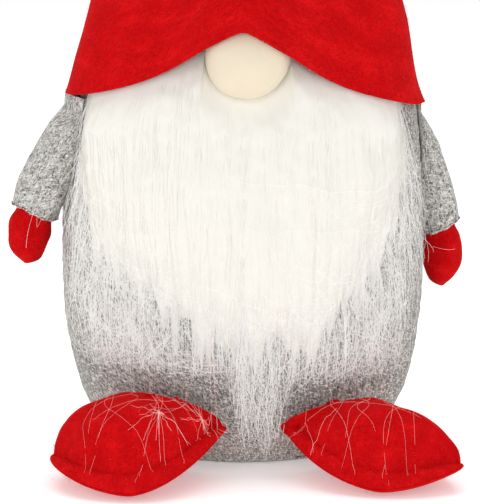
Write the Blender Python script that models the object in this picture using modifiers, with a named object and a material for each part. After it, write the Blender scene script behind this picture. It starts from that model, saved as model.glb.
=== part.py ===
# A standing felt gnome: a stuffed felt body with a long-pile beard, a ball nose,
# a tall pointed hat, hanging arms with mittens and two big stuffed feet.
# Metres, +Z up. The gnome faces -Y, and its own left hand is on the +X side.
# The origin is the middle of the base disc's underside, on the surface it stands on.

import math

import bmesh
import bpy
import numpy as np
from mathutils import Matrix, Vector

# Cloth, and the spaces between pieces
FELT = 0.0018
NOSE_CLOTH = 0.001
BACKING_CLOTH = 0.0012
SEAM_GAP = 0.0003
FILL_GAP = 0.0009
LAY_GAP = 0.0012

# Body: a turned bag, flattened from front to back
BASE_HALF_WIDTH = 0.060
BODY_HALF_WIDTH = 0.0986
BODY_WIDEST_Z = 0.095
BODY_TOP_Z = 0.288
BODY_SHOULDER_POWER = 3.2
BODY_NECK_RADIUS = 0.008
DEPTH_RATIO = 0.84
CARD_THICKNESS = 0.0015
CARD_MARGIN = 0.003
BAG_HALF_WIDTH = 0.060
BAG_HEIGHT = 0.018

# Hat: a cone with a flared brim that rides up over the nose
HAT_TOP_Z = 0.456
HAT_HALF_WIDTH = 0.091
HAT_TAPER_POWER = 1.6
HAT_TIP_RADIUS = 0.003
BRIM_Z = 0.192
BRIM_FLARE = 0.0055
BRIM_FLARE_HEIGHT = 0.0154
BRIM_TILT = 0.0025
BRIM_FRONT_RISE = 0.020
BRIM_FRONT_ANGLE = 45.0
BRIM_PEAK_RISE = 0.0245
BRIM_PEAK_ANGLE = 17.3
HAT_BEARD_ROOM = 0.008
HAT_FILL_LOW_Z = 0.246
HAT_FILL_TOP_DROP = 0.012

# Nose: a stuffed ball, flat where it is sewn to the body
NOSE_RADIUS = 0.022
NOSE_X = 0.002
NOSE_Z = 0.222
NOSE_STAND_OUT = 0.008
NOSE_HOLE_RADIUS = 0.006

# Beard: a backing cloth on the body's front, and its pile
BEARD_HALF_ANGLE = 60.0
BEARD_TUCK = 0.008
BEARD_BACKING_LOW_Z = 0.118
BEARD_PILE_LOW_Z = 0.072
BEARD_SIDE_RISE = 0.050
PILE_THICKNESS = 0.014
PILE_TOP_THICKNESS = 0.005
PILE_TIP_THICKNESS = 0.0025
PILE_BRIM_GAP = 0.0015

# Arms: sleeves flattened at the shoulder seam, each with a mitten tucked in its cuff.
# A station gives the inner edge (out, down), the outer edge (out, down) and the half
# depth, all measured from the shoulder's hinge line.
SLEEVE_STATIONS = (
    (0.0000, 0.000, 0.0050, 0.000, 0.0180),
    (0.0003, 0.014, 0.0105, 0.011, 0.0175),
    (0.0008, 0.029, 0.0175, 0.024, 0.0165),
    (0.0016, 0.044, 0.0235, 0.038, 0.0155),
    (0.0030, 0.057, 0.0275, 0.051, 0.0145),
    (0.0050, 0.070, 0.0295, 0.061, 0.0135),
)
MITTEN_STATIONS = (
    (0.0064, 0.062, 0.0260, 0.056, 0.0112),
    (0.0076, 0.070, 0.0270, 0.064, 0.0112),
    (0.0078, 0.077, 0.0303, 0.071, 0.0125),
    (0.0096, 0.086, 0.0305, 0.083, 0.0120),
    (0.0135, 0.0945, 0.0275, 0.092, 0.0080),
    (0.0195, 0.0980, 0.0210, 0.0980, 0.0003),
)
CUFF_GAP = 0.0005
RIGHT_SHOULDER_Y = -0.020
RIGHT_SHOULDER_Z = 0.1875
RIGHT_ARM_LEAN = 3.5
RIGHT_ARM_REACH = 0.88
LEFT_SHOULDER_Y = 0.024
LEFT_SHOULDER_Z = 0.1830
LEFT_ARM_LEAN = 0.0
LEFT_ARM_REACH = 1.04
SHOULDER_THREAD_HALF_LENGTH = 0.015
SHOULDER_THREAD_LIFT = 0.0035
THREAD_RADIUS = 0.0005

# Feet: two leaf-shaped pillows, each a felt upper and sole around a filling
FOOT_LENGTH = 0.094
FOOT_HALF_WIDTH = 0.039
FOOT_HEIGHT = 0.046
FOOT_SEAM_Z = 0.0095
FOOT_HEEL_RISE = 0.012
FOOT_TIP_RISE = 0.0055
RIGHT_FOOT_X = -0.056
RIGHT_FOOT_Y = -0.090
RIGHT_FOOT_SPLAY = 6.0
LEFT_FOOT_X = 0.064
LEFT_FOOT_Y = -0.086
LEFT_FOOT_SPLAY = 21.0
FOOT_HINGE_Y = -0.046
FOOT_HINGE_Z = 0.002
FOOT_TILT_DEGREES = 12.0
FOOT_THREAD_Z = 0.004

# How finely the curved surfaces are cut
HALF_TURN_STEPS = 16
FULL_TURN_STEPS = 32
ARM_SIDES = 16
FOOT_SIDES = 24

GREY_FELT = (0.42, 0.41, 0.39)
RED_FELT = (0.60, 0.012, 0.016)
CREAM_CLOTH = (0.86, 0.80, 0.66)
WHITE_PILE = (0.90, 0.89, 0.85)
WHITE_CLOTH = (0.78, 0.77, 0.74)
FIBRE_FILL = (0.88, 0.88, 0.86)
BROWN_CARD = (0.45, 0.33, 0.20)
LINEN_CLOTH = (0.60, 0.55, 0.45)
DARK_THREAD = (0.10, 0.10, 0.10)


# Shapes that several pieces follow


def smooth_step(value):
    value = min(1.0, max(0.0, value))
    return value * value * (3 - 2 * value)


def body_half_width(z):
    """Half the body's width at a height, to the outside of the felt."""
    if z < BODY_WIDEST_Z:
        drop = (BODY_WIDEST_Z - z) / BODY_WIDEST_Z
        bulge = BODY_HALF_WIDTH - BASE_HALF_WIDTH
        return BASE_HALF_WIDTH + bulge * math.sqrt(max(0.0, 1 - drop**2))
    rise = (z - BODY_WIDEST_Z) / (BODY_TOP_Z - BODY_WIDEST_Z)
    return BODY_HALF_WIDTH * math.sqrt(max(0.0, 1 - rise**BODY_SHOULDER_POWER))


def body_room(z, clearance):
    """The half width that stays a clearance away from the body in every direction."""
    room = 0.0
    for step in range(-3, 4):
        turn = math.pi / 2 * step / 3
        near_z = max(0.0, z + clearance * math.sin(turn))
        room = max(room, body_half_width(near_z) + clearance * math.cos(turn))
    return room


def body_side_x(y, z):
    """How far out the body's side is at a depth and a height."""
    half = body_half_width(z)
    return half * math.sqrt(max(0.0, 1 - (y / (DEPTH_RATIO * half)) ** 2))


def body_profile():
    """The body's outline from the gathered neck down its side to the base."""
    neck_share = (1 - (BODY_NECK_RADIUS / BODY_HALF_WIDTH) ** 2) ** (
        1 / BODY_SHOULDER_POWER
    )
    upper_rows, lower_rows = 10, 6
    points = []
    for row in range(upper_rows):
        rise = neck_share * (1 - (row / upper_rows) ** 1.7)
        z = BODY_WIDEST_Z + rise * (BODY_TOP_Z - BODY_WIDEST_Z)
        points.append((body_half_width(z), z))
    for row in range(lower_rows + 1):
        angle = math.pi / 2 * (1 - row / lower_rows)
        bulge = BODY_HALF_WIDTH - BASE_HALF_WIDTH
        z = BODY_WIDEST_Z * (1 - math.sin(math.pi / 2 - angle))
        points.append((BASE_HALF_WIDTH + bulge * math.sin(angle), z))
    return points


def inset_profile(points, distance):
    """A profile moved inwards, square to its own line."""
    line = np.array(points)
    along = np.gradient(line, axis=0)
    along /= np.linalg.norm(along, axis=1)[:, None]
    inwards = np.stack([along[:, 1], -along[:, 0]], axis=1)
    return [tuple(point) for point in line + inwards * distance]


def hat_half_width(z):
    share = min(1.0, max(0.0, (z - BRIM_Z) / (HAT_TOP_Z - BRIM_Z)))
    cone = (HAT_HALF_WIDTH - HAT_TIP_RADIUS) * (1 - share**HAT_TAPER_POWER)
    flare = BRIM_FLARE * math.exp(-(z - BRIM_Z) / BRIM_FLARE_HEIGHT)
    return HAT_TIP_RADIUS + cone + flare


def brim_z(angle):
    """Height of the brim's cut edge. The angle is in degrees from the front."""
    angle = (angle + 180) % 360 - 180
    rise = BRIM_FRONT_RISE * math.exp(-((angle / BRIM_FRONT_ANGLE) ** 2))
    peak = BRIM_PEAK_RISE * math.exp(-((abs(angle) / BRIM_PEAK_ANGLE) ** 1.4))
    return BRIM_Z + rise + peak - BRIM_TILT * math.sin(math.radians(angle))


def hat_bulge(angle, z):
    """How far the beard and the nose push the hat's front out."""
    beard = smooth_step((90 - abs(angle)) / 35) * HAT_BEARD_ROOM
    beard *= math.exp(-max(0.0, z - 0.235) / 0.045)
    across = math.radians(angle) * HAT_HALF_WIDTH - NOSE_X
    nose_front = nose_centre().y - NOSE_RADIUS
    reach = -nose_front / DEPTH_RATIO - hat_half_width(NOSE_Z) - HAT_BEARD_ROOM
    above = max(0.0, z - NOSE_Z - 0.7 * NOSE_RADIUS)
    nose = reach * math.exp(-((across / (1.3 * NOSE_RADIUS)) ** 2))
    return beard + nose * math.exp(-((above / (1.6 * NOSE_RADIUS)) ** 2))


def nose_centre():
    """The ball's middle. Its back is pressed flat against the beard backing."""
    front = DEPTH_RATIO * body_half_width(NOSE_Z)
    return Vector((NOSE_X, -(front + BACKING_CLOTH + NOSE_STAND_OUT), NOSE_Z))


def smooth_station(stations, share):
    """A place between stations, on a smooth curve through all of them."""
    last = len(stations) - 1
    at = min(max(share, 0.0), 1.0) * last
    first = min(int(at), last - 1)
    part = at - first
    points = [
        np.array(stations[min(max(first + step, 0), last)]) for step in (-1, 0, 1, 2)
    ]
    before, here, there, after = points
    curve = 2 * here + (there - before) * part
    curve += (2 * before - 5 * here + 4 * there - after) * part**2
    curve += (3 * here - before - 3 * there + after) * part**3
    return curve / 2


# Making meshes


def new_collection(name):
    collection = bpy.data.collections.new(name)
    bpy.context.scene.collection.children.link(collection)
    return collection


def new_material(name, colour, roughness, metallic=0.0):
    material = bpy.data.materials.new(name)
    material.use_nodes = True
    shader = material.node_tree.nodes["Principled BSDF"]
    shader.inputs["Base Color"].default_value = (*colour, 1.0)
    shader.inputs["Roughness"].default_value = roughness
    shader.inputs["Metallic"].default_value = metallic
    return material


def new_part(name, mesh, colour, roughness, hinge=None, smooth=True):
    """An object for one piece. A moving piece is kept relative to its hinge."""
    mesh.name = name
    if smooth:
        mesh.shade_smooth()
        mesh.set_sharp_from_angle(angle=math.radians(40))
    part = bpy.data.objects.new(name, mesh)
    PARTS.objects.link(part)
    if hinge is not None:
        mesh.transform(Matrix.Translation(-hinge.location))
        part.parent = hinge
    mesh.materials.append(new_material(name, colour, roughness))
    return part


def new_hinge(name, location):
    hinge = bpy.data.objects.new(name, None)
    hinge.empty_display_size = 0.02
    hinge.location = location
    PARTS.objects.link(hinge)
    return hinge


def mesh_from(bm, inside=None):
    """Finishes a bmesh. An open sheet is turned to face away from a point inside it."""
    if inside is None:
        bmesh.ops.recalc_face_normals(bm, faces=bm.faces)
    else:
        facing = sum(
            face.normal.dot(face.calc_center_median() - inside) * face.calc_area()
            for face in bm.faces
        )
        if facing < 0:
            bmesh.ops.reverse_faces(bm, faces=bm.faces)
    mesh = bpy.data.meshes.new("piece")
    bm.to_mesh(mesh)
    bm.free()
    return mesh


def turned_mesh(profile, first_angle, turn, steps):
    """A profile of (radius, height) turned about Z."""
    cosine, sine = math.cos(first_angle), math.sin(first_angle)
    mesh = bpy.data.meshes.new("profile")
    mesh.from_pydata(
        [(radius * cosine, radius * sine, z) for radius, z in profile],
        [(index, index + 1) for index in range(len(profile) - 1)],
        [],
    )
    guide = bpy.data.objects.new("profile", mesh)
    PARTS.objects.link(guide)
    screw = guide.modifiers.new("Turn", "SCREW")
    screw.angle = turn
    screw.steps = screw.render_steps = steps
    screw.use_merge_vertices = True
    screw.merge_threshold = 0.00001
    graph = bpy.context.evaluated_depsgraph_get()
    turned = bpy.data.meshes.new_from_object(guide.evaluated_get(graph))
    bpy.data.objects.remove(guide)
    return turned


def turned_solid(profile, steps=FULL_TURN_STEPS):
    """A closed turned solid. The profile starts and ends on the axis."""
    mesh = turned_mesh(profile, 0.0, 2 * math.pi, steps)
    bm = bmesh.new()
    bm.from_mesh(mesh)
    bpy.data.meshes.remove(mesh)
    bmesh.ops.remove_doubles(bm, verts=bm.verts, dist=0.00001)
    return mesh_from(bm)


def flatten_depth(mesh):
    mesh.transform(Matrix.Diagonal((1.0, DEPTH_RATIO, 1.0, 1.0)))
    return mesh


def add_thickness(part, thickness):
    solidify = part.modifiers.new("Cloth", "SOLIDIFY")
    solidify.thickness = thickness
    solidify.offset = -1.0
    solidify.use_even_offset = True
    return part


def sheet_mesh(place, columns, rows, inside):
    """A grid laid on a surface. place takes two shares from 0 to 1."""
    bm = bmesh.new()
    bmesh.ops.create_grid(bm, x_segments=columns, y_segments=rows, size=0.5)
    for vert in bm.verts:
        vert.co = place(vert.co.x + 0.5, vert.co.y + 0.5)
    bm.normal_update()
    return mesh_from(bm, inside)


def layer_mesh(inner, outer, columns, rows):
    """The solid between two surfaces that are given by the same two shares."""
    bm = bmesh.new()
    bmesh.ops.create_grid(bm, x_segments=columns, y_segments=rows, size=0.5)
    raised = bmesh.ops.extrude_face_region(bm, geom=bm.faces[:], use_keep_orig=True)
    raised = {item for item in raised["geom"] if isinstance(item, bmesh.types.BMVert)}
    for vert in bm.verts:
        place = outer if vert in raised else inner
        vert.co = place(vert.co.x + 0.5, vert.co.y + 0.5)
    return mesh_from(bm)


def skin_rings(bm, rings):
    """Joins a row of rings with faces. A ring may be a single point."""
    rows = [[bm.verts.new(point) for point in ring] for ring in rings]
    for lower, upper in zip(rows, rows[1:]):
        skin_pair(bm, lower, upper)
    return rows


def skin_pair(bm, lower, upper):
    count = max(len(lower), len(upper))
    for side in range(count):
        after = (side + 1) % count
        if len(lower) == 1:
            bm.faces.new((lower[0], upper[after], upper[side]))
        elif len(upper) == 1:
            bm.faces.new((lower[side], lower[after], upper[0]))
        else:
            bm.faces.new((lower[side], lower[after], upper[after], upper[side]))


def sink(bm, distance):
    """Moves a surface in by a distance, square to itself."""
    bm.normal_update()
    middle = sum((vert.co for vert in bm.verts), Vector()) / len(bm.verts)
    outward = sum(vert.normal.dot(vert.co - middle) for vert in bm.verts)
    step = -math.copysign(distance, outward)
    moves = [
        vert.normal * step * min(1.2, vert.calc_shell_factor()) for vert in bm.verts
    ]
    for vert, move in zip(bm.verts, moves):
        vert.co += move


def sunk_rings(rings, distance):
    bm = bmesh.new()
    rows = skin_rings(bm, rings)
    sink(bm, distance)
    moved = [[vert.co.copy() for vert in row] for row in rows]
    bm.free()
    return moved


def cloth_mesh(outer, inner):
    """The cloth between two rows of rings, on its outside and on its inside."""
    bm = bmesh.new()
    rows = skin_rings(bm, outer + inner[::-1])
    if len(outer[0]) > 1:
        skin_pair(bm, rows[-1], rows[0])
    return mesh_from(bm)


def filling_mesh(rings, distance):
    """What fills the inside of rings that end in single points."""
    bm = bmesh.new()
    skin_rings(bm, rings)
    sink(bm, distance)
    bmesh.ops.smooth_vert(
        bm, verts=bm.verts, factor=0.4, use_axis_x=True, use_axis_y=True, use_axis_z=True
    )
    return mesh_from(bm)


def thread_tube(name, points, hinge=None):
    """A sewing thread along a row of points."""
    curve = bpy.data.curves.new(name, "CURVE")
    curve.dimensions = "3D"
    curve.bevel_depth = THREAD_RADIUS
    curve.bevel_resolution = 1
    curve.use_fill_caps = True
    spline = curve.splines.new("POLY")
    spline.points.add(len(points) - 1)
    for point, place in zip(spline.points, points):
        point.co = (*place, 1.0)
    guide = bpy.data.objects.new("thread_line", curve)
    PARTS.objects.link(guide)
    graph = bpy.context.evaluated_depsgraph_get()
    tube = bpy.data.meshes.new_from_object(guide.evaluated_get(graph))
    bpy.data.objects.remove(guide)
    bm = bmesh.new()
    bm.from_mesh(tube)
    bpy.data.meshes.remove(tube)
    bmesh.ops.remove_doubles(bm, verts=bm.verts, dist=0.00001)
    return new_part(name, mesh_from(bm), DARK_THREAD, 0.8, hinge)


# Body


def make_body():
    profile = body_profile()
    inside = Vector((0.0, 0.0, BODY_WIDEST_Z))
    sides = (("body_front_panel", math.pi, -1), ("body_back_panel", 0.0, 1))
    for name, first_angle, facing in sides:
        mesh = turned_mesh(profile, first_angle, math.pi, HALF_TURN_STEPS)
        bm = bmesh.new()
        bm.from_mesh(flatten_depth(mesh))
        bmesh.ops.translate(bm, vec=(0.0, facing * SEAM_GAP, 0.0), verts=bm.verts)
        bm.normal_update()
        panel = new_part(name, mesh_from(bm, inside), GREY_FELT, 0.95)
        add_thickness(panel, FELT)

    disc_half_width = BASE_HALF_WIDTH - 3 * SEAM_GAP
    make_disc("body_base_disc", disc_half_width, 0.0, FELT, GREY_FELT)
    card_low = FELT + SEAM_GAP
    make_disc(
        "base_card", disc_half_width - CARD_MARGIN, card_low, CARD_THICKNESS, BROWN_CARD
    )

    bag_low = card_low + CARD_THICKNESS + SEAM_GAP
    bag_profile = []
    bag_rows = 8
    for row in range(bag_rows + 1):
        angle = math.pi * row / bag_rows
        radius = BAG_HALF_WIDTH * math.sin(angle) ** 0.7 if 0 < row < bag_rows else 0.0
        z = bag_low + BAG_HEIGHT * (1 + math.cos(angle)) / 2
        bag_profile.append((radius, z))
    bag = flatten_depth(turned_solid(bag_profile))
    new_part("weight_bag", bag, LINEN_CLOTH, 0.9)

    fill_low = bag_low + BAG_HEIGHT + SEAM_GAP
    fill = [
        (radius, z)
        for radius, z in inset_profile(profile, FELT + FILL_GAP)
        if z > fill_low + 0.002
    ]
    fill = [(0.0, fill[0][1])] + fill[1:]
    fill += [(fill[-1][0] - 0.004, fill_low), (0.0, fill_low)]
    new_part("body_stuffing", flatten_depth(turned_solid(fill)), FIBRE_FILL, 1.0)


def make_disc(name, half_width, low_z, thickness, colour):
    bm = bmesh.new()
    bmesh.ops.create_cone(
        bm,
        cap_ends=True,
        segments=FULL_TURN_STEPS,
        radius1=half_width,
        radius2=half_width,
        depth=thickness,
    )
    bmesh.ops.translate(bm, vec=(0.0, 0.0, low_z + thickness / 2), verts=bm.verts)
    return new_part(name, flatten_depth(mesh_from(bm)), colour, 0.9)


# Beard


def beard_low_z(angle, low_z):
    """The beard's lower outline: lowest at the middle, higher at the sides."""
    return low_z + BEARD_SIDE_RISE * math.sin(math.radians(angle)) ** 2


def on_body(angle, z, out):
    """A point off the body's front at an angle, a height and a distance out."""
    half = body_room(z, out)
    turn = math.radians(angle)
    return Vector((half * math.sin(turn), -DEPTH_RATIO * half * math.cos(turn), z))


def beard_top_z(angle):
    """The pile's upper edge: under the brim, and round the lower half of the nose."""
    top = brim_z(angle) - PILE_BRIM_GAP
    room = NOSE_RADIUS + PILE_BRIM_GAP
    across = math.sin(math.radians(angle)) * body_half_width(NOSE_Z) - NOSE_X
    if abs(across) < room:
        top = min(top, NOSE_Z - math.sqrt(room**2 - across**2))
    return top


def make_beard():
    def backing(turn, share):
        angle = (2 * turn - 1) * BEARD_HALF_ANGLE
        low = beard_low_z(angle, BEARD_BACKING_LOW_Z)
        high = min(brim_z(angle) + BEARD_TUCK, BODY_TOP_Z - 0.040)
        return on_body(angle, low + share * (high - low), LAY_GAP + BACKING_CLOTH)

    inside = Vector((0.0, 0.0, 0.16))
    mesh = sheet_mesh(backing, 20, 12, inside)
    backing_part = new_part("beard_backing", mesh, WHITE_CLOTH, 0.9)
    add_thickness(backing_part, BACKING_CLOTH)

    def pile(turn, share, outer):
        angle = (2 * turn - 1) * BEARD_HALF_ANGLE
        low = beard_low_z(angle, BEARD_PILE_LOW_Z)
        high = beard_top_z(angle)
        out = LAY_GAP + BACKING_CLOTH + LAY_GAP
        if outer:
            edge = smooth_step((1 - abs(2 * turn - 1)) / 0.5)
            fullness = smooth_step(share / 0.45) * (1 - 0.6 * smooth_step(share / 0.5 - 1))
            thickness = PILE_TIP_THICKNESS + (PILE_THICKNESS - PILE_TIP_THICKNESS) * (
                fullness * (0.35 + 0.65 * edge)
            )
            out += max(thickness, PILE_TOP_THICKNESS * share**2)
        return on_body(angle, low + share * (high - low), out)

    mesh = layer_mesh(
        lambda turn, share: pile(turn, share, False),
        lambda turn, share: pile(turn, share, True),
        22,
        12,
    )
    new_part("beard_pile", mesh, WHITE_PILE, 0.7)


# Nose


def nose_profile(hole_radius):
    """The ball's outline from its front to a hole at the middle of its back."""
    last = math.pi - math.asin(hole_radius / NOSE_RADIUS)
    turns = [last * row / 11 for row in range(12)]
    profile = [(NOSE_RADIUS * math.sin(turn), NOSE_RADIUS * math.cos(turn)) for turn in turns]
    profile[0] = (0.0, NOSE_RADIUS)
    return profile


def press_on_backing(bm):
    """Stands a ball at the nose's place, its back pressed to the beard backing."""
    stand = Matrix.Translation(nose_centre()) @ Matrix.Rotation(math.pi / 2, 4, "X")
    bmesh.ops.remove_doubles(bm, verts=bm.verts, dist=0.00001)
    bmesh.ops.transform(bm, matrix=stand, verts=bm.verts)
    for vert in bm.verts:
        half = body_room(vert.co.z, LAY_GAP + BACKING_CLOTH + LAY_GAP)
        front = -DEPTH_RATIO * math.sqrt(half**2 - vert.co.x**2)
        vert.co.y = min(vert.co.y, front)
    bm.normal_update()


def make_nose():
    profile = nose_profile(NOSE_HOLE_RADIUS)
    mesh = turned_mesh(profile, 0.0, 2 * math.pi, 20)
    bm = bmesh.new()
    bm.from_mesh(mesh)
    press_on_backing(bm)
    cover = new_part("nose_cover", mesh_from(bm, nose_centre()), CREAM_CLOTH, 0.85)
    add_thickness(cover, NOSE_CLOTH)

    profile.append((0.0, profile[-1][1]))
    bm = bmesh.new()
    bm.from_mesh(turned_solid(profile, 20))
    press_on_backing(bm)
    sink(bm, NOSE_CLOTH + FILL_GAP)
    new_part("nose_stuffing", mesh_from(bm), FIBRE_FILL, 1.0)


# Hat


def hat_point(angle, share):
    """A point of the hat's outside, from the brim at 0 to the tip at 1."""
    low = brim_z(angle)
    z = low + (HAT_TOP_Z - low) * share**1.15
    half = hat_half_width(z)
    if abs(angle) < 90:
        half += hat_bulge(angle, z)
    turn = math.radians(angle)
    point = Vector((half * math.sin(turn), -DEPTH_RATIO * half * math.cos(turn), z))
    nose = nose_centre()
    room = NOSE_RADIUS + FELT + 2 * LAY_GAP
    aside = math.hypot(point.x - nose.x, point.z - nose.z)
    if abs(angle) < 90 and aside < room:
        point.y = min(point.y, nose.y - math.sqrt(room**2 - aside**2))
    return point


def make_hat():
    inside = Vector((0.0, 0.0, 0.26))
    panels = (("hat_front_panel", -90.0, -1, 32), ("hat_back_panel", 90.0, 1, 16))
    for name, first_angle, facing, columns in panels:

        def place(turn, share, first_angle=first_angle, facing=facing):
            point = hat_point(first_angle + 180 * turn, share)
            return point + Vector((0.0, facing * SEAM_GAP, 0.0))

        mesh = sheet_mesh(place, columns, 12, inside)
        add_thickness(new_part(name, mesh, RED_FELT, 0.95), FELT)

    inset = FELT + FILL_GAP
    top = HAT_TOP_Z - HAT_FILL_TOP_DROP
    rows = 10
    profile = [(0.0, top)]
    for row in range(1, rows + 1):
        z = top + (HAT_FILL_LOW_Z - top) * row / rows
        profile.append((hat_half_width(z) - inset, z))
    for row in range(rows):
        z = HAT_FILL_LOW_Z + (BODY_TOP_Z - HAT_FILL_LOW_Z) * (row / rows)
        profile.append((body_half_width(z) + FILL_GAP, z + FILL_GAP))
    profile.append((0.0, BODY_TOP_Z + 2 * FILL_GAP))
    new_part("hat_stuffing", flatten_depth(turned_solid(profile)), FIBRE_FILL, 1.0)


# Arms


def arm_rings(stations, shares, shoulder, side, lean, reach):
    """Rings along an arm, flat at the shoulder and round at the hand. side is -1
    for the arm on -X and 1 for the other, and reach scales the arm's length."""
    rings = []
    cosine, sine = math.cos(math.radians(lean)), math.sin(math.radians(lean))
    for share in shares:
        inner_out, inner_down, outer_out, outer_down, depth = smooth_station(
            stations, share
        )
        ring = []
        half_width = math.hypot(outer_out - inner_out, outer_down - inner_down) / 2
        straight = max(0.0, depth - half_width)
        for corner in range(ARM_SIDES):
            turn = 2 * math.pi * corner / ARM_SIDES
            mix = (1 - math.cos(turn)) / 2
            out = inner_out + (outer_out - inner_out) * mix
            down = (inner_down + (outer_down - inner_down) * mix) * reach
            along = min(1.0, max(-1.0, 1.6 * math.sin(turn)))
            y = shoulder.y + (depth - straight) * math.sin(turn) + straight * along
            hug = max(0.0, 1 - down / 0.035) ** 2
            level = body_side_x(shoulder.y, shoulder.z)
            out += hug * (body_side_x(y, shoulder.z) - level)
            turned_out = out * cosine + down * sine
            turned_down = down * cosine - out * sine
            x = side * (abs(shoulder.x) + turned_out)
            ring.append(Vector((x, y, shoulder.z - turned_down)))
        rings.append(ring)
    return rings


def keep_off_body(rings, clearance):
    """Moves ring points that would enter the body out to its surface."""
    for ring in rings:
        for point in ring:
            room = body_room(point.z, clearance)
            reach = math.hypot(point.x, point.y / DEPTH_RATIO)
            if reach < room:
                point.x *= room / reach
                point.y *= room / reach
    return rings


def make_arm(hand, side, shoulder_y, shoulder_z, lean, reach):
    level = body_side_x(shoulder_y, shoulder_z) + LAY_GAP
    shoulder = Vector((side * level, shoulder_y, shoulder_z))
    hinge = new_hinge(hand + "_shoulder_axis", shoulder)

    def rings(stations, first, last, count, clearance):
        shares = np.linspace(first, last, count)
        made = arm_rings(stations, shares, shoulder, side, lean, reach)
        return keep_off_body(made, clearance)

    sleeve = rings(SLEEVE_STATIONS, 0, 1, 9, LAY_GAP)
    mesh = cloth_mesh(sleeve, sunk_rings(sleeve, FELT))
    new_part(hand + "_sleeve", mesh, GREY_FELT, 0.95, hinge)

    in_cuff = LAY_GAP + FELT + CUFF_GAP
    mitten = rings(MITTEN_STATIONS, 0, 1, 10, in_cuff)
    tip = sum(mitten[-1], Vector()) / ARM_SIDES
    mitten = [[tip]] + mitten[-2::-1]
    mesh = cloth_mesh(mitten, sunk_rings(mitten, FELT))
    new_part(hand + "_mitten", mesh, RED_FELT, 0.95, hinge)

    # The filling narrows where it passes from the sleeve into the mitten.
    in_sleeve = rings(SLEEVE_STATIONS, 0.25, 0.72, 5, LAY_GAP)
    in_mitten = rings(MITTEN_STATIONS, 0.0, 0.80, 7, in_cuff)
    in_sleeve = sunk_rings(in_sleeve, FELT + FILL_GAP)
    in_mitten = sunk_rings(in_mitten, FELT + FILL_GAP)
    top = sum(in_sleeve[0], Vector()) / ARM_SIDES
    low = sum(in_mitten[-1], Vector()) / ARM_SIDES
    mesh = filling_mesh([[top]] + in_sleeve + in_mitten + [[low]], 0.0)
    new_part(hand + "_arm_stuffing", mesh, FIBRE_FILL, 1.0, hinge)

    thread_z = shoulder_z + SHOULDER_THREAD_LIFT
    points = []
    for y in np.linspace(-1, 1, 9) * SHOULDER_THREAD_HALF_LENGTH + shoulder_y:
        out = body_side_x(y, thread_z) + THREAD_RADIUS + LAY_GAP / 2
        points.append((side * out, y, thread_z))
    thread_tube(hand + "_shoulder_thread", points)


# Feet


def clear_of_body(point, clearance):
    """Moves a foot's point forward until the foot can tilt without meeting the body."""
    moved = point.copy()
    tilts = [math.radians(FOOT_TILT_DEGREES * step / 3) for step in range(4)]
    for _ in range(200):
        clear = True
        for tilt in tilts:
            y = moved.y - FOOT_HINGE_Y
            z = moved.z - FOOT_HINGE_Z
            turned_y = FOOT_HINGE_Y + y * math.cos(tilt) + z * math.sin(tilt)
            turned_z = FOOT_HINGE_Z + z * math.cos(tilt) - y * math.sin(tilt)
            room = body_room(max(turned_z, 0.0), clearance)
            if math.hypot(moved.x, turned_y / DEPTH_RATIO) < room:
                clear = False
        if clear:
            break
        moved.y -= 0.0004
    return moved


def foot_rings(centre, splay, side, upper):
    """Rings of the outside of a foot's upper or sole, from its middle out to the
    seam. The first one is a single point."""
    turn = math.radians(splay)
    rings = []
    for row in range(1, 7):
        share = math.sin(math.pi / 2 * row / 6)
        dome = math.sqrt(max(0.0, 1 - share**2.1))
        ring = []
        for corner in range(FOOT_SIDES):
            angle = 2 * math.pi * corner / FOOT_SIDES
            toe = math.cos(angle)
            along = FOOT_LENGTH / 2 * toe * share
            forward = FOOT_HALF_WIDTH * math.sin(angle) * share * (1 + 0.12 * toe)
            rise = FOOT_TIP_RISE if toe > 0 else FOOT_HEEL_RISE
            seam = FOOT_SEAM_Z + rise * (toe * share) ** 2
            if upper:
                z = seam + (FOOT_HEIGHT - seam) * dome
            else:
                z = seam * (1 - min(1.0, 1.15 * dome))
            x = centre.x + side * (along * math.cos(turn) - forward * math.sin(turn))
            y = centre.y - along * math.sin(turn) - forward * math.cos(turn)
            ring.append(clear_of_body(Vector((x, y, z)), LAY_GAP))
        rings.append(ring)
    middle = sum(rings[0], Vector()) / FOOT_SIDES
    return [[middle]] + rings


def lifted_edge(rings, lift):
    edge = [point + Vector((0.0, 0.0, lift)) for point in rings[-1]]
    return rings[:-1] + [edge]


def make_foot(foot, side, centre, splay):
    hinge = new_hinge(foot + "_axis", (centre.x, FOOT_HINGE_Y, FOOT_HINGE_Z))
    above = foot_rings(centre, splay, side, True)
    below = foot_rings(centre, splay, side, False)
    outer = above + below[-2::-1]
    inner = sunk_rings(outer, FELT)
    count = len(above)
    halves = (
        (foot + "_upper", outer[:count], inner[:count], SEAM_GAP / 2),
        (foot + "_sole", outer[: count - 2 : -1], inner[: count - 2 : -1], -SEAM_GAP / 2),
    )
    for name, outside, inside, lift in halves:
        mesh = cloth_mesh(lifted_edge(outside, lift), lifted_edge(inside, lift))
        new_part(name, mesh, RED_FELT, 0.95, hinge)
    mesh = filling_mesh(outer, FELT + FILL_GAP)
    new_part(foot + "_stuffing", mesh, FIBRE_FILL, 1.0, hinge)

    points = []
    for x in np.linspace(0.45, 1.1, 7) * centre.x:
        half = body_half_width(FOOT_THREAD_Z) + 3 * THREAD_RADIUS
        across = min(0.98, abs(x) / half)
        y = -DEPTH_RATIO * half * math.sqrt(1 - across**2)
        points.append((math.copysign(across * half, x), y, FOOT_THREAD_Z))
    thread_tube(foot + "_thread", points)


def clear_scene():
    for item in list(bpy.data.objects):
        bpy.data.objects.remove(item, do_unlink=True)


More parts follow.
